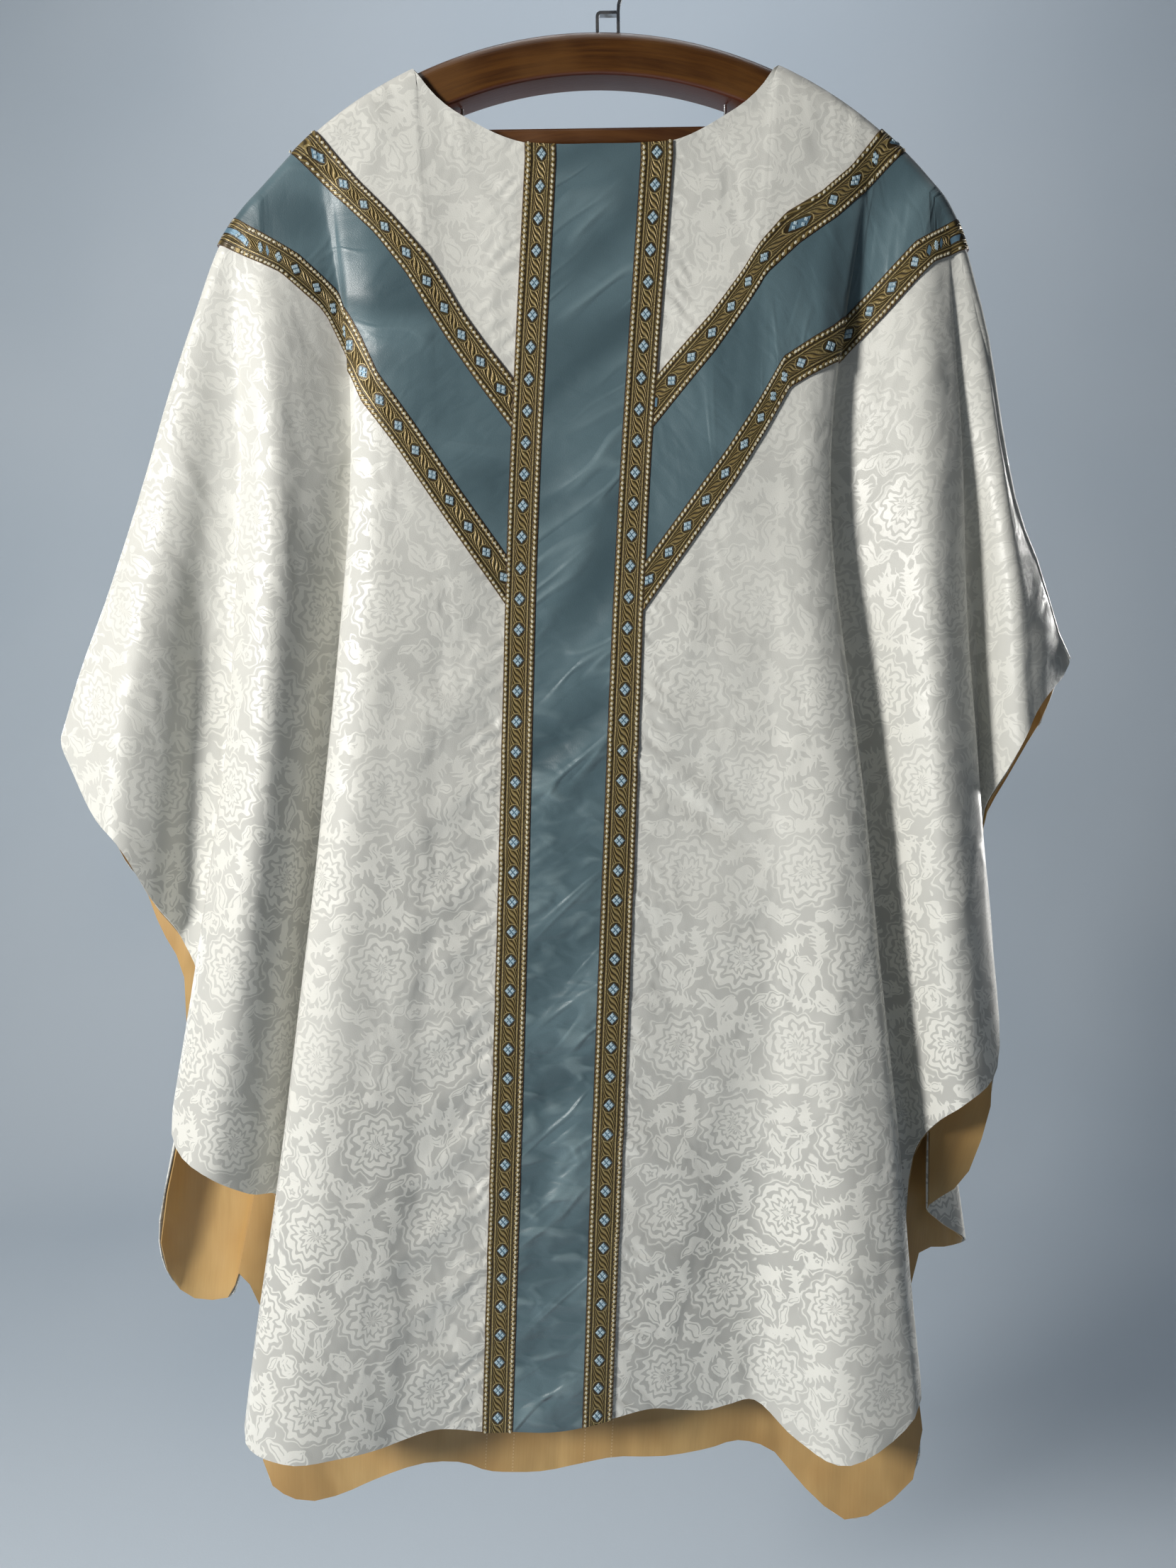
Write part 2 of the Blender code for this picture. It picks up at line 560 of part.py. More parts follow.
def main():
    for existing in list(bpy.data.objects):
        bpy.data.objects.remove(existing, do_unlink=True)
    collection = bpy.data.collections.new("chasuble_on_hanger")
    helpers = bpy.data.collections.new("helpers")
    bpy.context.scene.collection.children.link(collection)
    bpy.context.scene.collection.children.link(helpers)
    finishes = {
        "damask": material("damask", (0.78, 0.76, 0.70), 0.45),
        "lining": material("lining", (0.50, 0.30, 0.09), 0.40),
        "orphrey_satin": material("orphrey_satin", (0.16, 0.25, 0.30), 0.35),
        "galloon": material("galloon", (0.30, 0.19, 0.06), 0.45),
        "arch_wood": material("arch_wood", (0.24, 0.10, 0.02), 0.35),
        "hook_metal": material("hook_metal", (0.35, 0.35, 0.36), 0.35, 1.0),
    }
    for prefix, folds, side in (("front", FRONT_FOLDS, -1), ("back", BACK_FOLDS, 1)):
        sheet, flat = cloth_sheet(folds, side)
        half = SEAM_GAP / 2
        add_layer(f"{prefix}_panel", sheet, half, DAMASK_WALL, finishes["damask"], collection)
        add_layer(f"{prefix}_lining", sheet, -half, -LINING_WALL, finishes["lining"], collection)
        mark_arms(sheet)
        add_orphrey(prefix, sheet, flat, finishes, collection)
        sheet.free()
    add_arch(finishes["arch_wood"], collection)
    add_bar(finishes["arch_wood"], collection)
    add_pin("bar_pin_left", -PIN_PLACE, finishes["hook_metal"], collection)
    add_pin("bar_pin_right", PIN_PLACE, finishes["hook_metal"], collection)
    add_hook(finishes["hook_metal"], collection, helpers)


main()
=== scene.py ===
import math
from collections import namedtuple

import bmesh
import bpy
import numpy as np
from mathutils import Matrix, Vector
from mathutils.bvhtree import BVHTree
from mathutils.geometry import barycentric_transform


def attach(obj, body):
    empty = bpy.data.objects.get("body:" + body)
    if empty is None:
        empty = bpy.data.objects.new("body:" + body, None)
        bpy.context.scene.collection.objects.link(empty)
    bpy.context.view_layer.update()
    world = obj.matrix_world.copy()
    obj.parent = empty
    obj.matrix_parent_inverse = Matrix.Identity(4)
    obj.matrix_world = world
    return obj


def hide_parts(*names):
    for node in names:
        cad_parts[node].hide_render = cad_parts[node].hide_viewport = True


# A chasuble of ivory damask on its wooden hanger. Lengths are in millimetres until they go into a mesh.
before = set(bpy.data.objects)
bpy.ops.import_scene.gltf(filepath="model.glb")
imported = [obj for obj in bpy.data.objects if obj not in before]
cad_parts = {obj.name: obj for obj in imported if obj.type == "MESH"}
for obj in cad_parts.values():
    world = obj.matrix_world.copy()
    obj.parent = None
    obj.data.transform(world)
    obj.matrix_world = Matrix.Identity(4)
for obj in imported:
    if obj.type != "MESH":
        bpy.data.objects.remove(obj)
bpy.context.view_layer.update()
mm = 0.001
print("frame loaded,", len(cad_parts), "nodes")

# The cloth: walls of each layer, the turn over the shoulder, and how finely it is woven out
cloth = {
    "seamGap": 0.3,
    "slantedGap": 0.21,
    "liningBelow": 0.5,
    "damask": 1.2,
    "lining": 1.0,
    "satin": 1.0,
    "galloon": 1.6,
    "rise": 3.0,
    "turnDepth": 20.5,
    "turnWidth": 12.0,
    "tipDepth": 5.0,
    "tipWidth": 1.2,
    "tipReach": (478.0, 412.0),
    "neckStep": 12.0,
    "turnRows": 10,
    "bodyRows": 197,
    "columnsPerLine": 5,
    "creaseFactor": 1.5,
    "fadeRows": 30,  # rows under the shoulder over which the creases fade in
    "neckLeft": -151.0,
    "neckRight": 155.0,
}
orphrey = {
    "width": 120.0,
    "galloonWidth": 26.0,
    "leanLines": 15,  # lines of cloth over which the arm's lean is smoothed
    "cutMargin": 40.0,  # cloth left round a strip before its exact cut
    "threadReach": 0.3,  # how far past the braid's edge a thread may still be placed
}
arch = {"top": -66.0, "radius": 372.0, "height": 37.0, "thickness": 32.0, "halfSpan": 292.0}
arch["centre"] = arch["top"] - arch["radius"]

# The shoulder line past the arch's ends, from each tip inwards, and the neck edge, as x and z
leftShoulder = (
    (-478, -646), (-458, -590), (-432, -529), (-408, -468), (-386, -408), (-365, -348), (-342, -290),
    (-320, -238), (-300, -209),
)
rightShoulder = (
    (412, -590), (403, -572), (383, -511), (360, -451), (347, -390), (336, -328), (321, -271),
    (310, -236), (298, -211),
)
neckEdge = (
    (-148, -99), (-136, -115), (-98, -143), (-58, -159), (-32, -161), (3, -161), (38, -161),
    (65, -159), (102, -143), (140, -115), (152, -99),
)

# Each line runs down the cloth from the shoulder or neck to the hem, along a crest, a valley or a tuck.
# Upper is a quarter of the way down, middle is just past half.
Fold = namedtuple("Fold", "name topX upperX upperY middleX middleY hemX hemY hemZ")
lineStations = (0.0, 0.25, 0.55, 1.0)
frontFolds = [Fold(*row) for row in (
    ("left tip", -478, -477.5, -5, -476, -5, -472, -5, -667),
    ("left flare outer", -444, -443, -14, -445, -20, -449, -22, -708),
    ("left flare crest", -386, -388, -22, -400, -34, -415, -38, -748),
    ("left flare slope", -349, -355, -18, -372, -22, -395, -24, -796),
    ("left flare valley", -326, -331, -12, -351, -4, -383, -2, -828),
    ("left flute tuck", -315, -307, -12, -314, -6, -366, -8, -871),
    ("left flute edge", -301, -299, -22, -323, -26, -388, -35, -999),
    ("left flute crest", -283, -269, -34, -284, -50, -346, -60, -1031),
    ("left flute slope", -265, -250, -24, -265, -34, -321, -44, -1051),
    ("left valley", -245, -217, -8, -251, -3, -304, -8, -1072),
    ("left panel tuck", -232, -203, -12, -238, -9, -311, -20, -1189),
    ("left panel edge", -215, -209, -28, -246, -44, -324, -72, -1268),
    ("left panel round", -198, -190, -36, -221, -55, -287, -88, -1276),
    ("left panel outer", -174, -160, -36, -186, -52, -239, -82, -1276),
    ("left neck point", -151, -138, -34, -160, -48, -205, -70, -1275),
    ("left neck turn", -148, -128, -33, -148, -45, -190, -64, -1273),
    ("left neck side", -136, -115, -32, -133, -43, -166, -59, -1268),
    ("left neck slope", -98, -95, -31, -113, -40, -142, -55, -1269),
    ("left column edge", -58, -77, -30, -93, -38, -118, -52, -1274),
    ("left galloon inner", -32, -51, -30, -66, -38, -90, -52, -1274),
    ("column centre", 3, -18, -30, -35, -38, -59, -52, -1274),
    ("right galloon inner", 38, 16, -30, -3, -38, -28, -50, -1271),
    ("right column edge", 65, 42, -30, 25, -37, -1, -48, -1266),
    ("right neck slope", 102, 78, -32, 62, -36, 38, -40, -1262),
    ("right neck side", 140, 106, -33, 90, -36, 66, -34, -1268),
    ("right neck turn", 152, 120, -34, 106, -36, 88, -30, -1271),
    ("right neck point", 155, 132, -34, 120, -36, 106, -27, -1268),
    ("right panel dip", 178, 147, -34, 143, -38, 131, -26, -1264),
    ("right panel outer", 199, 161, -35, 168, -46, 167, -48, -1289),
    ("right panel round", 218, 178, -36, 199, -52, 208, -80, -1291),
    ("right panel edge", 230, 195, -28, 226, -42, 267, -68, -1257),
    ("right panel tuck", 241, 191, -12, 221, -8, 270, -19, -1179),
    ("right valley", 254, 216, -8, 239, -2, 280, -4, -1045),
    ("right flute slope", 268, 250, -24, 261, -32, 292, -36, -999),
    ("right flute crest", 282, 275, -34, 281, -50, 310, -54, -976),
    ("right flute edge", 298, 304, -22, 316, -30, 344, -36, -949),
    ("right flute tuck", 307, 303, -12, 312, -8, 346, -8, -824),
    ("right flare valley", 316, 315, -12, 331, -4, 340, -4, -723),
    ("right flare crest", 327, 329, -18, 339, -24, 351, -28, -687),
    ("right flare outer", 360, 361, -20, 366, -30, 373, -31, -636),
    ("right tip", 412, 411, -5, 409, -5, 406, -5, -606),
)]
backFolds = [Fold(*row) for row in (
    ("left tip", -478, -477.5, 5, -476, 5, -472, 5, -667),
    ("left flare outer", -444, -446, 10, -448, 14, -446, 16, -741),
    ("left flare crest", -386, -392, 20, -404, 28, -425, 30, -787),
    ("left flare slope", -349, -358, 18, -375, 22, -409, 24, -826),
    ("left flare valley", -315, -325, 16, -345, 16, -387, 16, -870),
    ("left flute tuck", -295, -312, 20, -325, 16, -396, 14, -992),
    ("left flute edge", -270, -300, 30, -335, 30, -426, 20, -1128),
    ("left flute crest", -245, -270, 44, -300, 52, -412, 46, -1195),
    ("left flute slope", -225, -240, 40, -265, 44, -370, 40, -1195),
    ("left valley", -205, -215, 26, -245, 20, -347, 18, -1160),
    ("left panel tuck", -190, -205, 28, -240, 30, -326, 34, -1243),
    ("left panel edge", -175, -200, 34, -245, 40, -332, 18, -1368),
    ("left panel round", -163, -182, 40, -222, 46, -306, 14, -1386),
    ("left neck point", -151, -150, 42, -185, 48, -258, 20, -1384),
    ("left neck turn", -148, -138, 42, -168, 48, -229, 18, -1369),
    ("left neck side", -136, -122, 42, -146, 46, -190, 14, -1352),
    ("left neck slope", -98, -98, 40, -116, 42, -148, 12, -1348),
    ("left column edge", -58, -72, 38, -88, 38, -120, 10, -1356),
    ("left galloon inner", -32, -46, 38, -62, 38, -96, 10, -1358),
    ("column centre", 3, -12, 38, -28, 38, -62, 10, -1357),
    ("right galloon inner", 38, 22, 38, 4, 38, -27, 10, -1350),
    ("right column edge", 65, 48, 38, 30, 38, 1, 10, -1344),
    ("right neck slope", 102, 82, 40, 68, 42, 50, 12, -1345),
    ("right neck side", 140, 112, 42, 98, 44, 93, 14, -1339),
    ("right neck turn", 152, 128, 42, 118, 44, 121, 18, -1335),
    ("right neck point", 155, 142, 42, 136, 44, 148, 22, -1344),
    ("right panel outer", 178, 162, 42, 168, 46, 186, 14, -1382),
    ("right panel round", 200, 182, 40, 204, 44, 233, 4, -1408),
    ("right panel edge", 218, 202, 34, 232, 38, 286, 4, -1367),
    ("right panel tuck", 232, 206, 26, 226, 26, 286, 22, -1244),
    ("right valley", 245, 222, 24, 242, 20, 294, 24, -1151),
    ("right curl back", 258, 244, 34, 262, 42, 326, 30, -1148),
    ("right curl turn", 270, 262, 42, 280, 50, 335, 12, -1132),
    ("right curl front", 282, 278, 42, 295, 44, 305, -8, -1105),
    ("right curl edge", 290, 291, 36, 306, 34, 292, -14, -1085),
    ("right sleeve edge", 298, 302, 28, 316, 26, 323, -4, -1070),
    ("right sleeve inner", 306, 308, 22, 318, 20, 352, 2, -999),
    ("right flare tuck", 313, 318, 18, 328, 18, 340, 14, -836),
    ("right flare valley", 322, 328, 18, 338, 20, 346, 16, -733),
    ("right flare crest", 336, 340, 24, 348, 28, 374, 26, -690),
    ("right flare outer", 366, 368, 12, 376, 16, 396, 14, -643),
    ("right tip", 412, 411, 5, 409, 5, 406, 5, -606),
)]
columnLines = ("left column edge", "left galloon inner", "right galloon inner", "right column edge")

# The arms of the Y from the shoulder down to the column: x and z of the band's upper edge, then of its lower
leftArm = (
    (-236, -140, -330, -228), (-197, -187, -263, -261), (-170, -215, -230, -290),
    (-142, -247, -211, -332), (-127, -270, -198, -366), (-113, -294, -170, -405),
    (-93, -322, -130, -466), (-72, -349, -86, -531), (-40, -394, -40, -600),
)
rightArm = (
    (242, -146, 328, -240), (211, -183, 281, -260), (187, -203, 241, -303), (157, -220, 207, -336),
    (136, -243, 160, -362), (121, -266, 139, -398), (94, -301, 113, -439), (63, -334, 62, -509),
    (30, -370, 10, -580),
)

# Creases in the front, as a ridge or, below zero, a furrow: the middle, its turn from level, half its length
# and width, and its height
Crease = namedtuple("Crease", "x z turn length width depth")
frontCreases = [Crease(*row) for row in (
    (118, -1085, 62, 70, 26, -2.6), (150, -1010, 66, 90, 24, 1.8), (60, -930, -34, 75, 16, 1.2),
    (96, -820, -36, 80, 16, 1.1), (120, -640, -60, 120, 22, 1.3), (62, -688, -38, 62, 7, 2.6),
    (72, -706, -38, 60, 9, -2.4), (36, -795, -42, 40, 10, 1.2), (60, -640, -30, 70, 16, 1.2),
    (70, -560, -30, 90, 22, 1.2), (26, -880, -38, 45, 10, 1.2), (30, -1015, -38, 60, 12, 1.4),
    (34, -1110, -36, 60, 12, 1.2), (-125, -700, 36, 60, 12, 1.3), (-118, -775, 34, 48, 9, 1.3),
    (-122, -832, 30, 45, 8, 1.2), (-122, -892, 32, 48, 8, 1.3), (-126, -952, 34, 52, 9, 1.4),
    (-130, -1010, 34, 56, 9, 1.5), (-134, -1072, 33, 60, 9, 1.6), (-138, -1135, 32, 60, 10, 1.5),
    (-142, -1200, 30, 60, 10, 1.3), (-150, -640, 40, 80, 20, 1.3), (-110, -560, 50, 70, 16, -0.9),
    (100, -450, -48, 80, 18, 0.9), (-395, -560, -72, 70, 14, 1.0), (360, -520, 78, 60, 12, 1.0),
)]
backCreases = [Crease(*row) for row in (
    (-124, -700, 34, 60, 12, 1.3), (-128, -860, 32, 55, 10, 1.3), (-134, -1020, 33, 60, 10, 1.4),
    (-138, -1170, 32, 60, 10, 1.4), (50, -690, -36, 60, 10, 1.6), (34, -860, -38, 55, 10, 1.2),
    (30, -1060, -36, 60, 11, 1.4), (-90, -430, 46, 80, 18, 0.9), (96, -450, -48, 80, 18, 0.9),
)]
# A slow ripple over the whole cloth: wave lengths across and down, how far each is shifted, and the height
Ripple = namedtuple("Ripple", "across down shift height")
ripples = (
    Ripple(210, 620, 0.4, 0.7),
    Ripple(-130, 410, 1.9, 0.5),
    Ripple(88, 900, 4.1, 0.35),
)


def smoothThrough(stations, values, wanted):
    # values on a smooth curve through the stations; values may be a list or a table of rows
    stations = np.asarray(stations, float)
    values = np.asarray(values, float)
    slopes = np.gradient(values, stations, axis=0)
    at = np.clip(wanted, stations[0], stations[-1])
    span = np.clip(np.searchsorted(stations, at, side="right") - 1, 0, len(stations) - 2)
    width = stations[span + 1] - stations[span]
    s = (at - stations[span]) / width
    if values.ndim > 1:
        s, width = s[:, None], width[:, None]
    bend = s * (1 - s) * width
    line = (1 + 2 * s) * (1 - s) ** 2 * values[span] + s**2 * (3 - 2 * s) * values[span + 1]
    return line + bend * ((1 - s) * slopes[span] - s * slopes[span + 1])


def archSurface(x, radius):
    return arch["centre"] + np.sqrt(radius**2 - np.square(x))


def shoulderCurve():
    over = [(x, archSurface(x, arch["radius"] + cloth["rise"])) for x in np.arange(-280, 281, 40.0)]
    points = np.array([*leftShoulder, *over, *reversed(rightShoulder)], float)
    return points[:, 0], points[:, 1]


shoulderX, shoulderZ = shoulderCurve()


def shoulderHeight(x):
    return float(smoothThrough(shoulderX, shoulderZ, x))


neckTable = np.array(
    [
        (cloth["neckLeft"], shoulderHeight(cloth["neckLeft"])),
        *neckEdge,
        (cloth["neckRight"], shoulderHeight(cloth["neckRight"])),
    ]
)


def turnSizes(x):
    reach = cloth["tipReach"][0] if x < 0 else cloth["tipReach"][1]
    past = min(max((abs(x) - arch["halfSpan"]) / (reach - arch["halfSpan"]), 0), 1)
    depth = cloth["turnDepth"] + (cloth["tipDepth"] - cloth["turnDepth"]) * past
    width = cloth["turnWidth"] + (cloth["tipWidth"] - cloth["turnWidth"]) * past
    return depth, width


def linePoints(fold, side):
    # one line of the cloth from the shoulder or neck to the hem; side is -1 at the front and 1 at the back
    shoulder = shoulderHeight(fold.topX)
    onNeck = cloth["neckLeft"] < fold.topX < cloth["neckRight"]
    top = float(smoothThrough(neckTable[:, 0], neckTable[:, 1], fold.topX)) if onNeck else shoulder
    depth, width = turnSizes(fold.topX)
    slope = shoulderHeight(fold.topX + 0.5) - shoulderHeight(fold.topX - 0.5)
    down = np.array([slope, -1.0]) / math.hypot(slope, 1.0)
    first = math.acos(min(max(1 + (shoulder - top) * down[1] / width, 0), 1))
    unturned = 1 - first / (math.pi / 2)
    angles = first + np.linspace(0, math.pi / 2, cloth["turnRows"]) * unturned
    inwards = width * (math.cos(first) - np.cos(angles))
    steps = np.linspace(0, cloth["neckStep"], cloth["turnRows"]) * (1 - unturned)
    turnX = fold.topX + inwards * down[0]
    turnY = side * depth * np.sin(angles)
    turnZ = top + inwards * down[1] - steps
    fractions = np.linspace(0, 1, cloth["bodyRows"] + 1)[1:]
    x = smoothThrough(lineStations, (turnX[-1], fold.upperX, fold.middleX, fold.hemX), fractions)
    y = smoothThrough(lineStations, (turnY[-1], fold.upperY, fold.middleY, fold.hemY), fractions)
    z = turnZ[-1] + (fold.hemZ - turnZ[-1]) * fractions
    y = np.concatenate([turnY, y]) + side * cloth["seamGap"] / 2
    return np.stack([np.concatenate([turnX, x]), y, np.concatenate([turnZ, z])], axis=1)


def fineLines(folds, side):
    # the listed lines and smooth ones between them, with each line's place across the cloth
    coarse = np.array([linePoints(fold, side) for fold in folds])
    steps = np.linalg.norm(np.diff(coarse[:, coarse.shape[1] // 2], axis=0), axis=1)
    listed = np.concatenate([[0.0], np.cumsum(steps)])
    count = cloth["columnsPerLine"]
    between = [a + (b - a) * np.arange(count) / count for a, b in zip(listed, listed[1:])]
    across = np.concatenate(between + [listed[-1:]])
    table = smoothThrough(listed, [fold[1:] for fold in folds], across)
    points = np.array([linePoints(Fold("", *row), side) for row in table])
    return points, across, dict(zip([fold.name for fold in folds], listed))


def outwardDirections(points, side):
    outward = np.cross(np.gradient(points, axis=0), np.gradient(points, axis=1))
    outward /= np.maximum(np.linalg.norm(outward, axis=2, keepdims=True), 1e-9)
    outward *= 1 if outward[..., 1].sum() * side > 0 else -1
    onShoulder = np.array([line[0][2] > shoulderHeight(line[0][0]) - 0.5 for line in points])
    outward[onShoulder, 0, 1] = 0
    return outward / np.linalg.norm(outward, axis=2, keepdims=True)


def flatPlaces(points, across, middle):
    # the cloth laid flat: u is the distance across at one height, from the column's centre, and v is down
    levels = np.arange(-1430.0, -50.0, 10.0)
    atLevel = np.empty((len(points), len(levels), 2))
    for i, line in enumerate(points):
        order = np.argsort(line[:, 2])
        for k in (0, 1):
            atLevel[i, :, k] = np.interp(levels, line[order, 2], line[order, k])
    gaps = np.linalg.norm(np.diff(atLevel, axis=0), axis=2)
    sums = np.concatenate([np.zeros((1, len(levels))), np.cumsum(gaps, axis=0)])
    sums -= np.array([np.interp(middle, across, column) for column in sums.T])[None]
    u = np.array([np.interp(line[:, 2], levels, row) for line, row in zip(points, sums)])
    steps = np.linalg.norm(np.diff(points[..., 1:], axis=1), axis=2)
    down = np.concatenate([np.zeros((len(points), 1)), np.cumsum(steps, axis=1)], axis=1)
    last = cloth["turnRows"] - 1
    return u, down - down[:, last : last + 1] - points[:, last : last + 1, 2]


def rippleHeights(points, u, v, creases):
    height = np.zeros(u.shape)
    for crease in creases:
        turn = math.radians(crease.turn)
        dx, dz = points[..., 0] - crease.x, points[..., 2] - crease.z
        along = (dx * math.cos(turn) + dz * math.sin(turn)) / crease.length
        beside = (dz * math.cos(turn) - dx * math.sin(turn)) / crease.width
        height += cloth["creaseFactor"] * crease.depth * np.exp(-(along**2) - beside**2)
    for ripple in ripples:
        height += ripple.height * np.sin(2 * math.pi * (u / ripple.across + v / ripple.down) + ripple.shift)
    fade = np.clip(np.arange(u.shape[1]) / cloth["fadeRows"], 0, 1)
    return height * fade[None]


def lowestNear(height, reach=3):
    # the lining keeps below every furrow near it, because its own grid is coarser
    padded = np.pad(height, reach, mode="edge")
    lines, rows = height.shape
    low = height
    for i in range(2 * reach + 1):
        for j in range(2 * reach + 1):
            low = np.minimum(low, padded[i : i + lines, j : j + rows])
    return low


def armEdges(stations):
    # the band's outer edges and the two seams in it, each as x and z along the arm
    table = np.array(stations, float)
    if table[0, 0] > table[-1, 0]:
        table = table[::-1]
    share = orphrey["galloonWidth"] / orphrey["width"]
    upper, lower = table[:, :2], table[:, 2:]
    return [upper + part * (lower - upper) for part in (0.0, share, 1 - share, 1.0)]


def armLayers(points, hand, stations):
    # how far each corner lies above each edge of the arm, and its distance along the arm
    x, z = points[..., 0], points[..., 2]
    layers = {}
    heights = []
    for number, edge in enumerate(armEdges(stations)):
        heights.append(z - np.interp(x, edge[:, 0], edge[:, 1]))
        layers[f"{hand} edge {number}"] = heights[-1]
    middle = (heights[0] + heights[3]) / 2
    row = np.clip(np.argmax(middle < 0, axis=1), 1, z.shape[1] - 1)
    lines = np.arange(len(points))
    share = np.clip(middle[lines, row - 1] / (middle[lines, row - 1] - middle[lines, row] + 1e-9), 0, 1)
    centre = points[lines, row - 1] * (1 - share[:, None]) + points[lines, row] * share[:, None]
    along = np.concatenate([[0.0], np.cumsum(np.linalg.norm(np.diff(centre, axis=0), axis=1))])
    lean = np.gradient(centre[:, 2], along + 1e-6 * lines)
    window = np.hanning(orphrey["leanLines"])
    lean = np.convolve(np.pad(lean, orphrey["leanLines"] // 2, mode="edge"), window / window.sum(), "valid")
    layers[f"{hand} along"] = along[:, None] + (z - centre[:, 2:3]) * lean[:, None]
    return layers


def clothSheet(points, outward, side, layers):
    # the garment's middle surface; each corner keeps its place, the way out of the cloth and its flat place
    lines, rows = points.shape[:2]
    bm = bmesh.new()
    bmesh.ops.create_grid(bm, x_segments=lines - 1, y_segments=rows - 1, size=1.0)
    place = bm.verts.layers.float_vector.new("place")
    away = bm.verts.layers.float_vector.new("outward")
    named = [(bm.verts.layers.float.new(name), values) for name, values in layers.items()]
    for vert in bm.verts:
        line = round((vert.co.x + 1) / 2 * (lines - 1))
        row = round((1 - vert.co.y) / 2 * (rows - 1))
        vert.co = Vector(points[line, row])
        vert[place] = vert.co
        vert[away] = Vector(outward[line, row])
        for layer, values in named:
            vert[layer] = values[line, row]
    bm.normal_update()
    if sum(face.normal.y * face.calc_area() for face in bm.faces) * side < 0:
        bmesh.ops.reverse_faces(bm, faces=bm.faces[:])
    return bm


def thinned(points, step=2):
    # every second line and row, and always the last one
    keep = [list(range(0, size - 1, step)) + [size - 1] for size in points.shape[:2]]
    return points[np.ix_(*keep)]


def pieceFrom(bm, name, surface, nodes=(), smooth=True):
    # a finished mesh becomes a piece at the origin, riding on the one body
    bm.normal_update()
    for face in bm.faces:
        face.smooth = smooth
    for edge in bm.edges:
        edge.smooth = edge.calc_face_angle(0.0) < math.radians(45)
    mesh = bpy.data.meshes.new(name)
    bm.to_mesh(mesh)
    bm.free()
    mesh.materials.append(surface)
    piece = bpy.data.objects.new(name, mesh)
    bpy.context.scene.collection.objects.link(piece)
    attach(piece, "root")
    if nodes:
        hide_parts(*nodes)
    return piece


def giveWall(bm, offset, wall, flatOf):
    # moves the sheet out by the offset and gives it its wall; the flat place becomes the cloth's own map
    place = bm.verts.layers.float_vector["place"]
    away = bm.verts.layers.float_vector["outward"]
    for vert in bm.verts:
        vert.co = (vert[place] + vert[away].normalized() * offset) * mm
    made = bmesh.ops.extrude_face_region(bm, geom=bm.faces[:], use_keep_orig=True)
    for item in made["geom"]:
        if isinstance(item, bmesh.types.BMVert):
            item.co += item[away].normalized() * wall * mm
    bmesh.ops.recalc_face_normals(bm, faces=bm.faces[:])
    clothMap = bm.loops.layers.uv.new("cloth")
    for face in bm.faces:
        for loop in face.loops:
            loop[clothMap].uv = flatOf(loop.vert)


def flatReader(bm, uName, vName):
    uLayer, vLayer = bm.verts.layers.float[uName], bm.verts.layers.float[vName]
    return lambda vert: (vert[uLayer] * mm, vert[vLayer] * mm)


def wholeLayer(name, sheet, offset, wall, surface):
    bm = sheet.copy()
    giveWall(bm, offset, wall, flatReader(bm, "u", "v"))
    return pieceFrom(bm, name + "_cloth", surface, [name])


def keepWhere(bm, layerName, level, side):
    # cuts the sheet where the layer has this level and keeps what lies beyond, on the side given as 1 or -1
    layer = bm.verts.layers.float[layerName]
    place = bm.verts.layers.float_vector["place"]
    across = bm.verts.layers.float["across"]
    far = [v for v in bm.verts if side * (v[layer] - level) < -orphrey["cutMargin"]]
    bmesh.ops.delete(bm, geom=far, context="VERTS")
    for vert in bm.verts:
        vert.co = Vector((vert[across], vert[place].z, side * (vert[layer] - level)))
    bmesh.ops.bisect_plane(
        bm,
        geom=bm.verts[:] + bm.edges[:] + bm.faces[:],
        dist=0.02,
        plane_co=(0, 0, 0),
        plane_no=(0, 0, 1),
        clear_inner=True,
    )


def ornamentGuide(bm, flatOf, outside):
    # reads a place on the braid from its flat place: the triangles laid flat, and the same ones in space
    bmesh.ops.triangulate(bm, faces=bm.faces[:])
    place = bm.verts.layers.float_vector["place"]
    away = bm.verts.layers.float_vector["outward"]
    bm.verts.index_update()
    flat = [Vector((*flatOf(v), 0)) / mm for v in bm.verts]
    space = [v[place] + v[away].normalized() * outside for v in bm.verts]
    out = [v[away].normalized() for v in bm.verts]
    faces = [[v.index for v in face.verts] for face in bm.faces]
    return BVHTree.FromPolygons(flat, faces), flat, space, out, faces


def placeOn(guide, u, v):
    tree, flat, space, out, faces = guide
    found, _, index, distance = tree.find_nearest(Vector((u, v, 0)))
    if found is None or distance > orphrey["threadReach"]:
        return None
    corners = faces[index]
    laid = [flat[i] for i in corners]
    up = [space[i] for i in corners]
    here = barycentric_transform(Vector((u, v, 0)), *laid, *up)
    ahead = barycentric_transform(Vector((u, v + 1, 0)), *laid, *up) - here
    normal = sum((out[i] for i in corners), Vector()).normalized()
    ahead = (ahead - normal * ahead.dot(normal)).normalized()
    beside = ahead.cross(normal)
    return Matrix((beside, ahead, normal)).transposed().to_4x4(), here


# The braid's raised threads: a rope of small beads at both edges and a four-lobed diamond down the middle
braid = {
    "beadPitch": 4.4,
    "beadEdge": 2.5,
    "beadSize": (1.2, 1.8, 0.8),
    "beadLean": 18.0,
    "diamondPitch": 26.0,
    "lobeReach": 2.2,
    "lobeStretch": 1.22,
    "lobeSize": 2.1,
    "lobeTop": 0.66,
    "lobeHeight": 0.9,
    "lobeSink": 0.1,
    "firstBead": 2.0,
    "beadCrowding": 0.7,  # the least share of the pitch between two beads, and below between two diamonds
    "diamondCrowding": 0.6,
    "bandHalf": 5.0,
    "cordPlace": 6.6,
    "ropeInner": 8.4,
    "ropeOuter": 12.2,
    "diamondHalf": 4.3,
    "roundelHalf": 6.2,
}


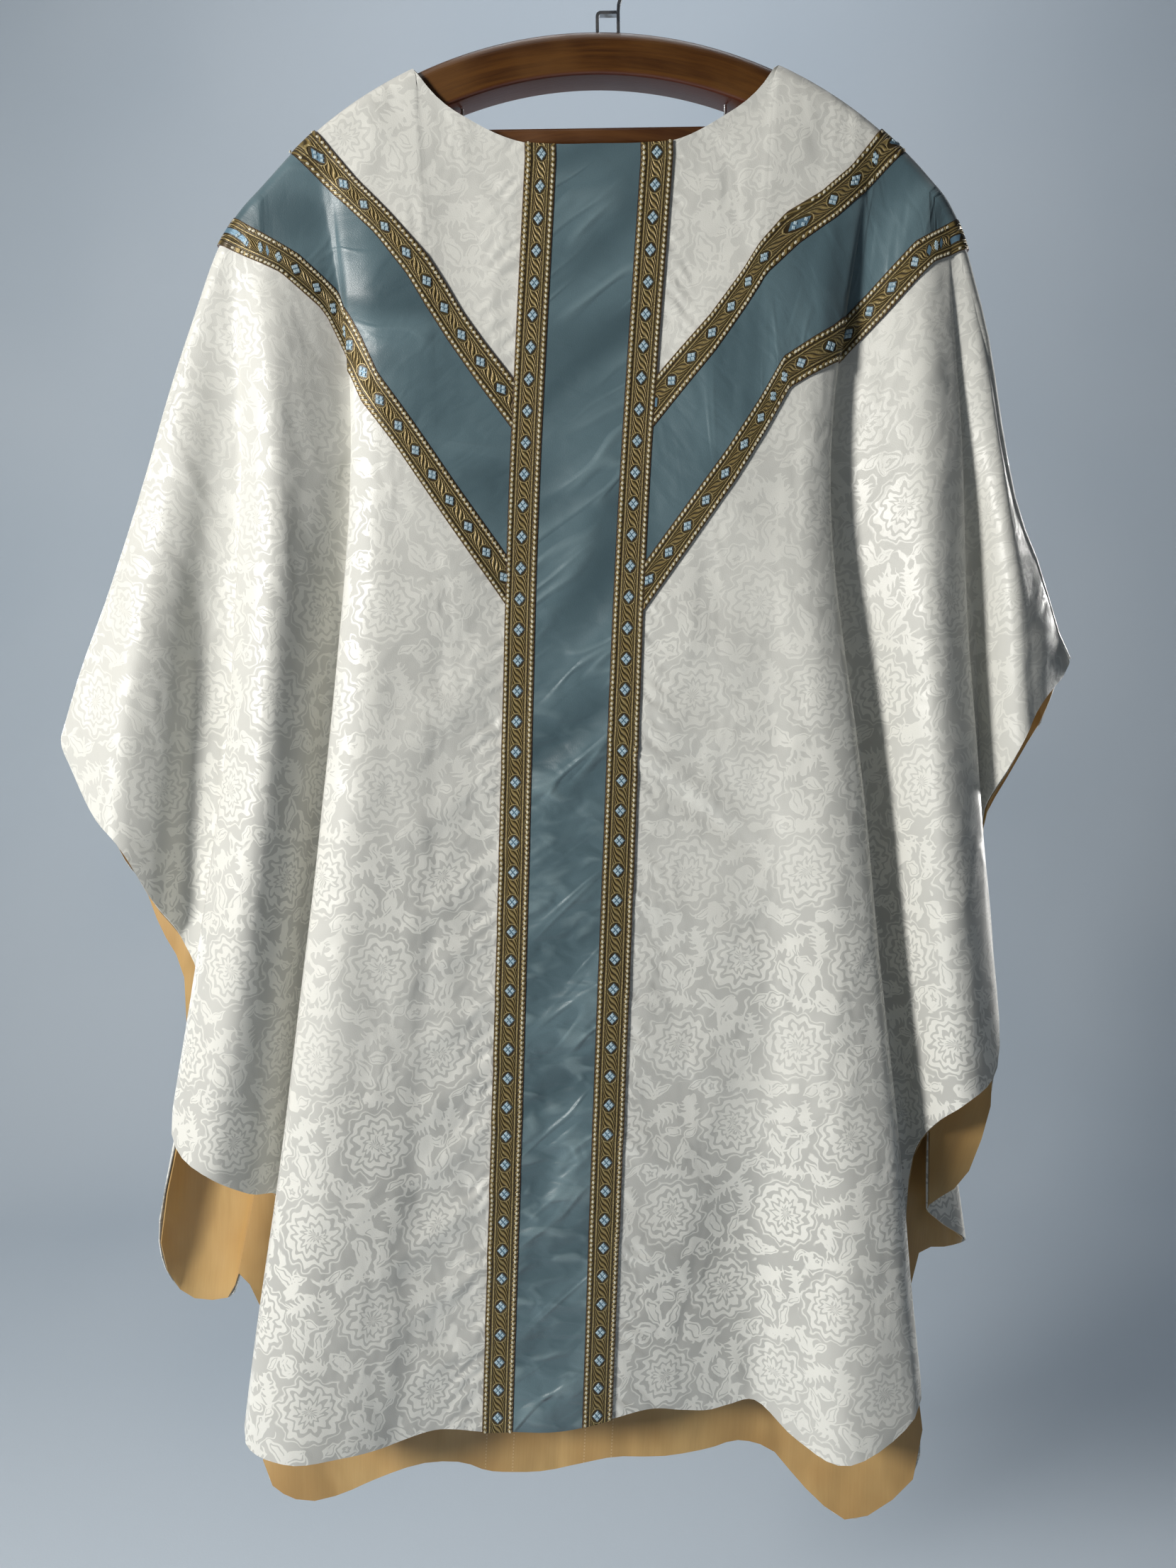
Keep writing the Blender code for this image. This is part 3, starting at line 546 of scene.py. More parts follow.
def addBeads(bm, guide, length):
    least = braid["beadCrowding"] * braid["beadPitch"]
    for side in (braid["beadEdge"], orphrey["galloonWidth"] - braid["beadEdge"]):
        last = None
        for v in np.arange(braid["firstBead"], length, braid["beadPitch"]):
            found = placeOn(guide, side, v)
            if found is None or last and (found[1] - last).length < least:
                continue
            turn, here = found
            last = here
            size = [reach * mm for reach in braid["beadSize"]]
            lean = Matrix.Rotation(math.radians(braid["beadLean"]), 4, "Z")
            shape = Matrix.Translation(here * mm) @ turn @ lean @ Matrix.Diagonal((*size, 1))
            bmesh.ops.create_icosphere(bm, subdivisions=1, radius=1.0, matrix=shape)


def addDiamonds(bm, guide, length):
    middle = orphrey["galloonWidth"] / 2
    least = braid["diamondCrowding"] * braid["diamondPitch"]
    reach, far = braid["lobeReach"], braid["lobeReach"] * braid["lobeStretch"]
    last = None
    for v in np.arange(braid["diamondPitch"] / 2, length, braid["diamondPitch"]):
        centre = placeOn(guide, middle, v)
        if centre is None or last and (centre[1] - last).length < least:
            continue
        last = centre[1]
        for du, dv in ((0, far), (0, -far), (reach, 0), (-reach, 0)):
            found = placeOn(guide, middle + du, v + dv)
            if found is None:
                continue
            turn, here = found
            rise = Matrix.Translation((0, 0, braid["lobeHeight"] / 2 - braid["lobeSink"]))
            shape = Matrix.Translation(here * mm) @ turn @ Matrix.Diagonal((mm, mm, mm, 1)) @ rise
            size = braid["lobeSize"]
            bmesh.ops.create_cone(
                bm,
                cap_ends=True,
                segments=4,
                radius1=size,
                radius2=size * braid["lobeTop"],
                depth=braid["lobeHeight"],
                matrix=shape,
            )


def newMaterial(name, roughness, metallic=0.0, sheen=0.0, coat=0.0):
    made = bpy.data.materials.new(name)
    made.use_nodes = True
    shader = made.node_tree.nodes["Principled BSDF"]
    names = ("Roughness", "Metallic", "Sheen Weight", "Coat Weight")
    for socket, value in zip(names, (roughness, metallic, sheen, coat)):
        shader.inputs[socket].default_value = value
    return made, made.node_tree, shader


class Reading:
    # what a material reads at each point of its surface; sums of readings become its Math nodes
    def __init__(self, socket):
        self.socket = socket
        self.tree = socket.id_data

    def __add__(self, other):
        return worked("ADD", self, other)

    def __sub__(self, other):
        return worked("SUBTRACT", self, other)

    def __rsub__(self, other):
        return worked("SUBTRACT", other, self)

    def __mul__(self, other):
        return worked("MULTIPLY", self, other)

    def __abs__(self):
        return worked("ABSOLUTE", self)


def feed(value, socket):
    # a reading is linked in; a number or a colour is set
    if isinstance(value, Reading):
        value.tree.links.new(value.socket, socket)
    elif isinstance(value, tuple):
        socket.default_value = (*value, 1.0)
    else:
        socket.default_value = value


def worked(operation, *values):
    tree = next(value.tree for value in values if isinstance(value, Reading))
    node = tree.nodes.new("ShaderNodeMath")
    node.operation = operation
    for value, socket in zip(values, node.inputs):
        feed(value, socket)
    return Reading(node.outputs[0])


def sine(value):
    return worked("SINE", value)


def cosine(value):
    return worked("COSINE", value)


def root(value):
    return worked("SQRT", value)


def turnOf(y, x):
    return worked("ARCTAN2", y, x)


def lesser(a, b):
    return worked("MINIMUM", a, b)


def greater(a, b):
    return worked("MAXIMUM", a, b)


def wrapped(value, pitch):
    # the distance to the nearest whole pitch
    return worked("WRAP", value, pitch / 2, -pitch / 2)


def ramp(value, low, high, start=0.0, end=1.0):
    node = value.tree.nodes.new("ShaderNodeMapRange")
    node.interpolation_type = "SMOOTHSTEP"
    for socket, number in zip(node.inputs, (value, low, high, start, end)):
        feed(number, socket)
    return Reading(node.outputs["Result"])


def blend(factor, first, second):
    node = factor.tree.nodes.new("ShaderNodeMix")
    node.data_type = "RGBA"
    for number, value in ((0, factor), (6, first), (7, second)):
        feed(value, node.inputs[number])
    return Reading(node.outputs[2])


def noise(where, scale, detail=2.0, roughness=0.5, distortion=0.0, output="Fac"):
    node = where.tree.nodes.new("ShaderNodeTexNoise")
    names = ("Vector", "Scale", "Detail", "Roughness", "Distortion")
    for name, value in zip(names, (where, scale, detail, roughness, distortion)):
        feed(value, node.inputs[name])
    return Reading(node.outputs[output])


def joined(x, y, z=0.0):
    node = x.tree.nodes.new("ShaderNodeCombineXYZ")
    for value, socket in zip((x, y, z), node.inputs):
        feed(value, socket)
    return Reading(node.outputs[0])


def parts(value, kind="XYZ"):
    node = value.tree.nodes.new("ShaderNodeSeparate" + kind)
    feed(value, node.inputs[0])
    return [Reading(output) for output in node.outputs]


def flatMap(tree):
    # the piece's own cloth map, in millimetres
    node = tree.nodes.new("ShaderNodeUVMap")
    node.uv_map = "cloth"
    x, y, _ = parts(Reading(node.outputs[0]))
    return x * 1000.0, y * 1000.0


def objectPlace(tree):
    return Reading(tree.nodes.new("ShaderNodeTexCoord").outputs["Object"])


def finished(shader, colour, relief, rough=None):
    feed(colour, shader.inputs["Base Color"])
    feed(relief, shader.inputs["Normal"])
    if rough is not None:
        feed(rough, shader.inputs["Roughness"])


def bump(height, distance, strength=1.0, under=None):
    node = height.tree.nodes.new("ShaderNodeBump")
    feed(height, node.inputs["Height"])
    feed(distance, node.inputs["Distance"])
    feed(strength, node.inputs["Strength"])
    if under is not None:
        feed(under, node.inputs["Normal"])
    return Reading(node.outputs[0])


# One repeat of the damask, half-dropped: a rosette at the corner, with leaves, ferns and blooms between
damask = {
    "repeatAcross": 105.0,
    "repeatDown": 77.0,
    "wander": 12.0,
    "rosettePetals": 12.0,
    "bloomPetals": 5.0,
    "ground": (0.45, 0.45, 0.425),
    "figure": (0.76, 0.755, 0.705),
    "plain": (0.70, 0.695, 0.635),
    "groundRoughness": 0.60,
    "figureRoughness": 0.40,
}
Motif = namedtuple("Motif", "kind x y turn length width rings")
motifs = (
    Motif("rosette", 0, 0, 0, 68, 68, 4.2),
    Motif("leaf", 41, 15, 66, 31, 14, 1.0),
    Motif("leaf", 58, 19, 108, 27, 12, 1.0),
    Motif("fern", 42, -15, -30, 34, 11, 0.0),
    Motif("fern", 66, -15, 72, 32, 10, 0.0),
    Motif("leaf", 52, 1, 24, 17, 10, 1.0),
    Motif("bloom", 31, 38, 0, 22, 22, 2.0),
    Motif("leaf", 78, 37, 44, 30, 14, 1.0),
    Motif("fern", 54, 37, 8, 26, 9, 0.0),
    Motif("leaf", 17, 36, -38, 20, 9, 1.0),
    Motif("leaf", 67, 2, -52, 17, 9, 1.0),
    Motif("leaf", 92, 40, -28, 21, 9, 1.0),
)


def motifMask(x, y, motif):
    # a motif is a height from 1 in its middle to 0 at its edge, light with thin dark lines round it
    across, down = damask["repeatAcross"], damask["repeatDown"]
    farDown = y - motif.y
    dy = wrapped(farDown, down)
    shifted = (farDown - dy) * (-across / 2 / down)
    dx = wrapped(x - motif.x + shifted, across)
    darkest, dark = -0.93, -0.70
    if motif.kind in ("rosette", "bloom"):
        petals = damask[motif.kind + "Petals"]
        far = root(dx * dx + dy * dy)
        twist = far * (9.0 / motif.width) + turnOf(dy, dx) * petals
        height = cosine(twist) * 0.06 + (far * (-2.0 / motif.width) + 0.93)
        darkest, dark = -0.55, -0.15
    else:
        turn = math.radians(motif.turn)
        along = dx * math.cos(turn) + dy * math.sin(turn)
        beside = dy * math.cos(turn) - dx * math.sin(turn)
        s = along * (2 / motif.length)
        t = abs(beside * (2 / motif.width))
        height = 1.0 - s * s - t
        if motif.kind == "fern":
            slant = t * 2.4 + along * (2 * math.pi / 5.0)
            height = height + sine(slant) * (lesser(t, 1.0) * 0.75)
    rings = cosine(height * (2 * math.pi * motif.rings))
    return ramp(height, 0.0, 0.06) * ramp(rings, darkest, dark), height


def damaskFigure(x, y):
    # the drawing wanders, so no two roses are cut quite alike; curling sprigs fill the ground between them
    wander = noise(joined(x * 0.085, y * 0.085), 1.0, 1.0, 0.5, output="Color")
    aside, along, _ = parts(wander, "Color")
    wide = damask["wander"]
    x = x + (aside * wide - wide / 2)
    y = y + (along * wide - wide / 2)
    sprigs = noise(joined(x * 0.066, y * 0.052, 4.0), 1.0, 0.0, 0.4, 0.5)
    figure, rose = motifMask(x, y, motifs[0])
    for motif in motifs[1:]:
        mask, _ = motifMask(x, y, motif)
        figure = greater(figure, mask)
    curls = ramp(sprigs, 0.535, 0.56) * ramp(sprigs, 0.63, 0.655, 1.0, 0.0)
    return greater(figure, curls * ramp(rose, -0.16, -0.09, 1.0, 0.0))


def damaskCloth():
    made, tree, shader = newMaterial("ivory damask", 0.5, sheen=0.15)
    x, y = flatMap(tree)
    figure = damaskFigure(x, y)
    slow = noise(joined(x * 0.005, y * 0.005), 1.0, 2.0)
    fine = noise(joined(x * 1.1, y * 1.1), 1.0, 2.0)
    # painted light: the figure is faded towards the shoulders, where the light falls flat on the cloth
    strength = ramp(y, 300, 1100, 0.62, 0.95) * ramp(slow, 0.3, 0.7, 0.6, 1.1)
    shown = (figure - 0.66) * strength + 0.66
    colour = blend(shown, damask["ground"], damask["figure"])
    # painted light: towards the shoulders the cloth is also blended to a plain tone, the way the flat light
    # shows it
    colour = blend(ramp(y, 250, 1250, 0.35, 0.0), colour, damask["plain"])
    colour = blend(ramp(fine, 0.3, 0.8, 0.0, 0.16), colour, (0.50, 0.47, 0.42))
    rough = figure * (damask["figureRoughness"] - damask["groundRoughness"]) + damask["groundRoughness"]
    soft = noise(joined(x * 0.022, y * 0.014), 1.0, 2.0, 0.5, 0.6)
    # puckers run down and out from the stitching of the galloon
    fromSeam = abs(x) - orphrey["width"] / 2
    patches = noise(joined(x * 0.03, y * 0.03, 9.0), 1.0, 1.0)
    drawn = ramp(fromSeam, 0.0, 44.0, 1.0, 0.0) * ramp(patches, 0.4, 0.62)
    pucker = sine(soft * 9.0 + (y * 0.34 - fromSeam * 0.3)) * drawn
    relief = bump(soft, 0.006, 0.6)
    relief = bump(pucker, 0.0010, 0.55, relief)
    finished(shader, colour, bump(fine, 0.0004, 0.35, relief), rough)
    return made


# The lining satin, with the lines of stitching that hold the orphrey showing through it
lining = {
    "light": (0.50, 0.325, 0.125),
    "deep": (0.38, 0.225, 0.078),
    "stitchLines": (34.0, 60.0),
    "stitchWidth": 0.9,
    "stitchPitch": 3.2,
}


def liningCloth():
    made, tree, shader = newMaterial("gold lining satin", 0.40, sheen=0.1)
    x, y = flatMap(tree)
    streak = noise(joined(x * 0.5, y * 0.02), 1.0, 3.0)
    slow = noise(joined(x * 0.012, y * 0.012), 1.0, 2.0)
    colour = blend(ramp(streak, 0.25, 0.75, 0.0, 0.22), lining["light"], lining["deep"])
    colour = blend(ramp(slow, 0.3, 0.7, 0.0, 0.5), colour, (0.38, 0.20, 0.055))
    aside = abs(x)
    seam = None
    for place in lining["stitchLines"]:
        line = ramp(abs(aside - place), 0.0, lining["stitchWidth"], 1.0, 0.0)
        seam = line if seam is None else greater(seam, line)
    stitches = seam * ramp(sine(y * (2 * math.pi / lining["stitchPitch"])), -0.4, 0.2)
    colour = blend(seam * 0.45, colour, (0.33, 0.19, 0.07))
    colour = blend(stitches * 0.5, colour, (0.8, 0.62, 0.36))
    creases = noise(joined(x * 0.022, y * 0.012), 1.0, 1.0, 0.5, 0.5)
    relief = bump(creases, 0.012, 0.5)
    relief = bump(seam, 0.001, -0.6, relief)
    finished(shader, colour, bump(streak, 0.0003, 0.4, relief))
    return made


# The orphrey's blue-grey satin, with a few soft slanting creases; a broad bloom of light, highlights on the
# creases and a mottled sheen are painted into its colour
satin = {"deep": (0.054, 0.096, 0.114), "middle": (0.102, 0.164, 0.188), "light": (0.21, 0.29, 0.31)}


def satinCloth(name, creased):
    made, tree, shader = newMaterial(name, 0.36, sheen=0.25)
    x, y = flatMap(tree)
    leaning = x * 0.62 + y * 0.78
    across = x * 0.78 - y * 0.62
    broad = noise(joined(across * 0.006, leaning * 0.016), 1.0, 1.0, 0.4, 0.4)
    folds = noise(joined(across * 0.01, leaning * 0.04, 7.0), 1.0, 1.0, 0.4, 0.5)
    small = noise(joined(x * 0.03, y * 0.062), 1.0, 1.5, 0.45, 0.5)
    nap = noise(joined(x * 0.9, y * 0.9), 1.0, 2.0)
    # a crease is a thin ridge where the noise passes its middle; its colour is lightened there as a painted
    # highlight
    ridgeAndHighlight = ramp(abs(folds - 0.5), 0.0, 0.11, 1.0, 0.0) * creased * ramp(broad, 0.45, 0.64)
    # painted sheen: soft mottled lightening of the colour, stronger lower down; the same mottle is also a
    # bump
    mottleAndSheen = (small - 0.5) * ramp(y, 500, 800, 0.2 * creased, creased)
    # painted sheen: a broad bloom of light, from the deep colour to the middle one
    colour = blend(ramp(broad, 0.30, 0.68), satin["deep"], satin["middle"])
    colour = blend(ridgeAndHighlight * 0.3, colour, satin["light"])
    colour = blend(ramp(mottleAndSheen, 0.02, 0.22, 0.0, 0.55), colour, satin["light"])
    colour = blend(ramp(nap, 0.3, 0.8, 0.0, 0.18), colour, (0.05, 0.08, 0.09))
    relief = bump(broad, 0.022, 0.35 + 0.25 * creased)
    relief = bump(mottleAndSheen, 0.008, 0.6, relief)
    relief = bump(ridgeAndHighlight, 0.0022, 0.5, relief)
    finished(shader, colour, bump(nap, 0.0004, 0.3, relief), ramp(nap, 0.2, 0.8, 0.36, 0.48))
    return made


# The braid across its 26 mm: beaded rope, gold cord, band of twisted strands round each diamond, cord, rope
braidColour = {
    "gold": (0.26, 0.186, 0.066),
    "light": (0.60, 0.50, 0.26),
    "dark": (0.042, 0.027, 0.010),
    "edge": (0.085, 0.045, 0.028),
    "diamond": (0.14, 0.24, 0.32),
}


def galloonBraid():
    made, tree, shader = newMaterial("gold galloon", 0.42, metallic=0.3)
    x, y = flatMap(tree)
    half, pitch = orphrey["galloonWidth"] / 2, braid["diamondPitch"]
    aside = x - half
    out = abs(aside)
    step = wrapped(y, pitch)
    # strands lean down to the right, steeper at the band's sides, in pairs with a dark line between
    lean = y - aside * 0.75 - aside * aside * aside * 0.055
    strand = abs(sine(lean * (math.pi / (pitch / 5))))
    inBand = ramp(out, braid["bandHalf"], braid["bandHalf"] + 0.5, 1.0, 0.0)
    # the diamond sits where the step is at its end, in a dark round with a thin gold ring
    fromDiamond = pitch / 2 - abs(step)
    far = root(aside * aside * 1.6 + fromDiamond * fromDiamond)
    roundel = ramp(far, braid["roundelHalf"], braid["roundelHalf"] + 0.6, 1.0, 0.0)
    ring = ramp(far, 6.0, 6.5) * ramp(far, 7.1, 7.6, 1.0, 0.0)
    corners = fromDiamond * 0.85 + out
    blue = ramp(corners, braid["diamondHalf"], braid["diamondHalf"] + 0.4, 1.0, 0.0) * inBand
    # a gold cord each side of the band, and the rope at the edge
    cord = ramp(abs(out - braid["cordPlace"]), 0.45, 0.85, 1.0, 0.0)
    past = ramp(out, braid["ropeOuter"], braid["ropeOuter"] + 0.4)
    rope = ramp(out, braid["ropeInner"], braid["ropeInner"] + 0.5) * (1.0 - past)
    ply = sine(out * 1.4 + y * (2 * math.pi / braid["beadPitch"]))
    rope = rope * ramp(ply, -0.8, 0.8, 0.25, 0.75)
    strands = strand * inBand * (1.0 - roundel)
    fine = noise(joined(x * 1.6, y * 0.9), 1.0, 3.0)
    slow = noise(joined(x * 0.16, y * 0.1), 1.0, 2.0)
    strands = strands * ramp(slow, 0.25, 0.7, 0.8, 1.0)
    height = greater(greater(strands, cord), greater(rope, ring * inBand))
    # the braid is darker the lower it lies: partly its dark ground, partly painted shade in the gaps between
    # the raised threads
    colour = blend(ramp(height, 0.15, 0.72), braidColour["dark"], braidColour["gold"])
    # painted glints: the highest threads are lightened in flecks
    paintedGlint = ramp(height, 0.8, 1.0) * ramp(fine, 0.46, 0.66, 0.05, 1.0)
    colour = blend(paintedGlint, colour, braidColour["light"])
    colour = blend(ramp(slow, 0.4, 0.75, 0.0, 0.35), colour, (0.15, 0.115, 0.04))
    colour = blend(past, colour, braidColour["edge"])
    colour = blend(blue, colour, braidColour["diamond"])
    relief = bump(height, 0.0012, 1.0)
    finished(shader, colour, bump(fine, 0.0005, 0.4, relief), ramp(fine, 0.2, 0.8, 0.28, 0.55))
    return made


def threadMaterial(name, colour, shade, roughness):
    made, tree, shader = newMaterial(name, roughness, sheen=0.2)
    place = objectPlace(tree)
    fleck = noise(place, 420.0, 2.0)
    fine = noise(place, 1600.0, 2.0)
    finished(shader, blend(ramp(fleck, 0.4, 0.7), colour, shade), bump(fine, 0.0002, 0.5))
    return made


# foot is how strongly the arch's underside is darkened as painted shade
def hangerWood(name, plain, dark, warm, foot):
    made, tree, shader = newMaterial(name, 0.36, coat=0.2)
    place = objectPlace(tree)
    x, y, z = parts(place)
    # the grain follows the bend: distance from the arch's centre, and round it
    z = z - arch["centre"] * mm
    radius = root(x * x + z * z)
    around = turnOf(x, z) * (arch["radius"] * mm)
    grain = noise(joined(around * 9.0, radius * 190.0, y * 190.0), 1.0, 4.0, 0.6, 0.4)
    pores = noise(joined(around * 60.0, radius * 1400.0, y * 1400.0), 1.0, 2.0)
    slow = noise(place, 14.0, 3.0)
    colour = blend(ramp(grain, 0.3, 0.7), plain, dark)
    colour = blend(ramp(slow, 0.35, 0.7, 0.0, 0.5), colour, warm)
    colour = blend(ramp(pores, 0.62, 0.75, 0.0, 0.6), colour, (0.07, 0.025, 0.008))
    # painted shade: the underside is darkened to a dark red-brown
    inner = (arch["radius"] - arch["height"]) * mm
    low = ramp(radius, inner, inner + 3.5 * mm, foot, 0.0)
    colour = blend(low, colour, (0.09, 0.018, 0.010))
    finished(shader, colour, bump(pores, 0.0003, 0.5), ramp(slow, 0.2, 0.8, 0.26, 0.42))
    return made


def hookMetal():
    made, tree, shader = newMaterial("plated steel", 0.35, metallic=1.0)
    place = objectPlace(tree)
    stretch = tree.nodes.new("ShaderNodeMapping")
    feed(place, stretch.inputs[0])
    stretch.inputs["Scale"].default_value = (900, 900, 60)
    brushed = noise(Reading(stretch.outputs[0]), 1.0, 2.0)
    dull = noise(place, 120.0, 3.0)
    colour = blend(ramp(dull, 0.4, 0.75), (0.55, 0.56, 0.58), (0.3, 0.29, 0.28))
    finished(shader, colour, bump(brushed, 0.0002, 0.4), ramp(dull, 0.3, 0.8, 0.25, 0.5))
    return made


def paleWall():
    made, tree, shader = newMaterial("pale wall", 0.9)
    place = objectPlace(tree)
    grain = noise(place, 260.0, 3.0)
    cloud = noise(place, 0.8, 2.0)
    colour = blend(ramp(cloud, 0.3, 0.7), (0.55, 0.63, 0.71), (0.62, 0.69, 0.76))
    finished(shader, colour, bump(grain, 0.001, 0.15))
    return made


archColours = ((0.098, 0.038, 0.0075), (0.046, 0.016, 0.004), (0.135, 0.057, 0.011))
barColours = ((0.11, 0.045, 0.014), (0.06, 0.022, 0.008), (0.15, 0.065, 0.022))
finishes = {
    "damask": damaskCloth(),
    "lining": liningCloth(),
    "satin": satinCloth("column satin", 1.0),
    "armSatin": satinCloth("arm satin", 0.3),
    "galloon": galloonBraid(),
    "beads": threadMaterial("cream thread", (0.66, 0.62, 0.48), (0.38, 0.31, 0.18), 0.42),
    "diamonds": threadMaterial("pale blue thread", (0.42, 0.53, 0.58), (0.26, 0.37, 0.43), 0.45),
    "arch": hangerWood("arch wood", *archColours, 0.8),
    "bar": hangerWood("bar wood", *barColours, 0.0),
    "metal": hookMetal(),
}
print("materials made")


def hangingArea(points):
    # area of the shown cloth, from the two halves of each cell
    a, b, c, d = points[:-1, :-1], points[1:, :-1], points[1:, 1:], points[:-1, 1:]
    halves = np.linalg.norm(np.cross(b - a, c - a), axis=2) + np.linalg.norm(np.cross(c - a, d - a), axis=2)
    return float(halves.sum() / 2 * 1e-6)


def addSide(prefix, folds, side, creases):
    points, across, listed = fineLines(folds, side)
    u, v = flatPlaces(points, across, listed["column centre"])
    smoothOut = outwardDirections(points, side)
    height = rippleHeights(points, u, v, creases)
    thinPoints = thinned(points + smoothOut * lowestNear(height)[..., None])
    points = points + smoothOut * height[..., None]
    outward = outwardDirections(points, side)
    layers = {"u": u, "v": v, "across": np.repeat(across[:, None], points.shape[1], axis=1)}
    thinLayers = {name: thinned(values) for name, values in layers.items()}
    for hand, stations in (("left", leftArm), ("right", rightArm)):
        layers.update(armLayers(points, hand, stations))
    sheet = clothSheet(points, outward, side, layers)
    half = cloth["seamGap"] / 2
    panel = wholeLayer(f"{prefix}_panel", sheet, half, cloth["damask"], finishes["damask"])
    thinSheet = clothSheet(thinPoints, outwardDirections(thinPoints, side), side, thinLayers)
    below, wall = -cloth["liningBelow"], -cloth["lining"]
    liner = wholeLayer(f"{prefix}_lining", thinSheet, below, wall, finishes["lining"])
    thinSheet.free()
    print(prefix, "cloth shown:", round(hangingArea(points), 3), "square metres")
    addOrphrey(prefix, sheet, listed)
    sheet.free()


def columnPlaces(bm, low, high, width):
    across, down = bm.verts.layers.float["across"], bm.verts.layers.float["v"]
    return lambda vert: ((vert[across] - low) / (high - low) * width * mm, vert[down] * mm)


def armPlaces(bm, hand, number, width):
    above = bm.verts.layers.float[f"{hand} edge {number}"]
    below = bm.verts.layers.float[f"{hand} edge {number + 1}"]
    along = bm.verts.layers.float[f"{hand} along"]

    def place(vert):
        over, past = -vert[above], vert[below]
        return over / max(over + past, 0.001) * width * mm, vert[along] * mm

    return place


def addOrphrey(prefix, sheet, listed):
    # the column and both arms of the Y, each a satin band between two braids, and the braids' raised threads
    half, slanting = cloth["seamGap"] / 2, cloth["slantedGap"]
    under = half + cloth["damask"] + cloth["seamGap"]
    edges = [listed[name] for name in columnLines]
    braidWidth = orphrey["galloonWidth"]
    widths = (braidWidth, orphrey["width"] - 2 * braidWidth, braidWidth)
    strips = []
    for number, kind in enumerate(("galloon_left", "satin", "galloon_right")):
        low, high = edges[number], edges[number + 1]
        trims = [("across", low + half, 1), ("across", high - half, -1)]
        strips.append((f"{prefix}_column_{kind}", trims, columnPlaces, (low, high, widths[number])))
    for hand, edge, away in (("left", edges[0] - half, -1), ("right", edges[-1] + half, 1)):
        for number, kind in enumerate(("galloon_upper", "satin", "galloon_lower")):
            upper, lower = f"{hand} edge {number}", f"{hand} edge {number + 1}"
            trims = [("across", edge, away), (upper, -slanting, -1), (lower, slanting, 1)]
            strips.append((f"{prefix}_arm_{kind}_{hand}", trims, armPlaces, (hand, number, widths[number])))
    beads, diamonds = bmesh.new(), bmesh.new()
    for name, trims, placesOf, details in strips:
        bm = sheet.copy()
        for trim in trims:
            keepWhere(bm, *trim)
        isBraid = "galloon" in name
        wall = cloth["galloon"] if isBraid else cloth["satin"]
        width = details[-1]
        flatOf = placesOf(bm, *details)
        if isBraid:
            guide = ornamentGuide(bm, flatOf, under + wall)
            longest = max(p.y for p in guide[1])
            addBeads(beads, guide, longest)
            addDiamonds(diamonds, guide, longest)
        downs = [flatOf(vert)[1] for vert in bm.verts]
        length = max(downs) - min(downs)
        giveWall(bm, under, wall, flatOf)
        shown = min(sum(face.calc_area() for face in bm.faces) / 2, width * mm * length)
        print(name, "length", round(length, 3), "area", round(shown, 4))
        surface, slotName = ("galloon", "galloon") if isBraid else ("satin", "orphrey_satin")
        surface = "armSatin" if "arm_satin" in name else surface
        strip = pieceFrom(bm, name + "_cloth", finishes[surface], [name])
        width * mm
    pieceFrom(beads, f"{prefix}_beads", finishes["beads"])
    pieceFrom(diamonds, f"{prefix}_diamonds", finishes["diamonds"], smooth=False)


addSide("front", frontFolds, -1, frontCreases)
print("front made")
addSide("back", backFolds, 1, backCreases)
print("back made")


# The hanger: the bent arch with its well rounded top, the trouser bar on two pins, and the strap hook
hanger = {
    "topRounding": 13.0,
    "footRounding": 3.0,
    "archSteps": 96,
    "barHalfLength": 140.0,
    "barMiddle": -148.0,
    "barHeight": 14.0,
    "barDepth": 16.0,
    "barRounding": 4.5,
    "endRounding": 0.5,
    "pinPlace": 110.7,
    "pinDiameter": 2.4,
    "hookRadius": 23.0,
    "hookWidth": 6.0,
    "hookThickness": 2.6,
    "stemEnd": -35.0,
    "stapleLeft": 4.0,
    "stapleRight": 21.5,
    "stapleHeight": 17.0,
    "stapleBend": 3.0,
    "stemLean": (0.4, 6.0),
    "crownTurn": 205.0,
}


def archSection():
    half, foot = arch["thickness"] / 2, arch["radius"] - arch["height"]
    corners = (
        (-half, arch["radius"], hanger["topRounding"], 180, 90),
        (half, arch["radius"], hanger["topRounding"], 90, 0),
        (half, foot, hanger["footRounding"], 0, -90),
        (-half, foot, hanger["footRounding"], -90, -180),
    )
    outline = []
    for depth, radius, rounding, start, end in corners:
        middleY = depth - math.copysign(rounding, depth)
        middleR = radius - rounding if radius == arch["radius"] else radius + rounding
        for angle in np.radians(np.linspace(start, end, 9 if radius == arch["radius"] else 5)):
            outline.append((middleY + rounding * math.cos(angle), middleR + rounding * math.sin(angle)))
    return outline


def hardPiece(bm, name, surface, node):
    bmesh.ops.scale(bm, vec=(mm, mm, mm), verts=bm.verts[:])
    bmesh.ops.recalc_face_normals(bm, faces=bm.faces[:])
    pieceFrom(bm, name, finishes[surface], [node])


def addArch():
    halfAngle = math.asin(arch["halfSpan"] / arch["radius"])
    bm = bmesh.new()
    start = Matrix.Rotation(-halfAngle, 4, "Y")
    corners = [bm.verts.new(start @ Vector((0, depth, radius))) for depth, radius in archSection()]
    section = bm.faces.new(corners)
    bend = {"angle": 2 * halfAngle, "steps": hanger["archSteps"], "axis": (0, 1, 0), "cent": (0, 0, 0)}
    bmesh.ops.spin(bm, geom=[section], **bend)
    bmesh.ops.translate(bm, vec=(0, 0, arch["centre"]), verts=bm.verts[:])
    hardPiece(bm, "arch_of_wood", "arch", "hanger_arch")


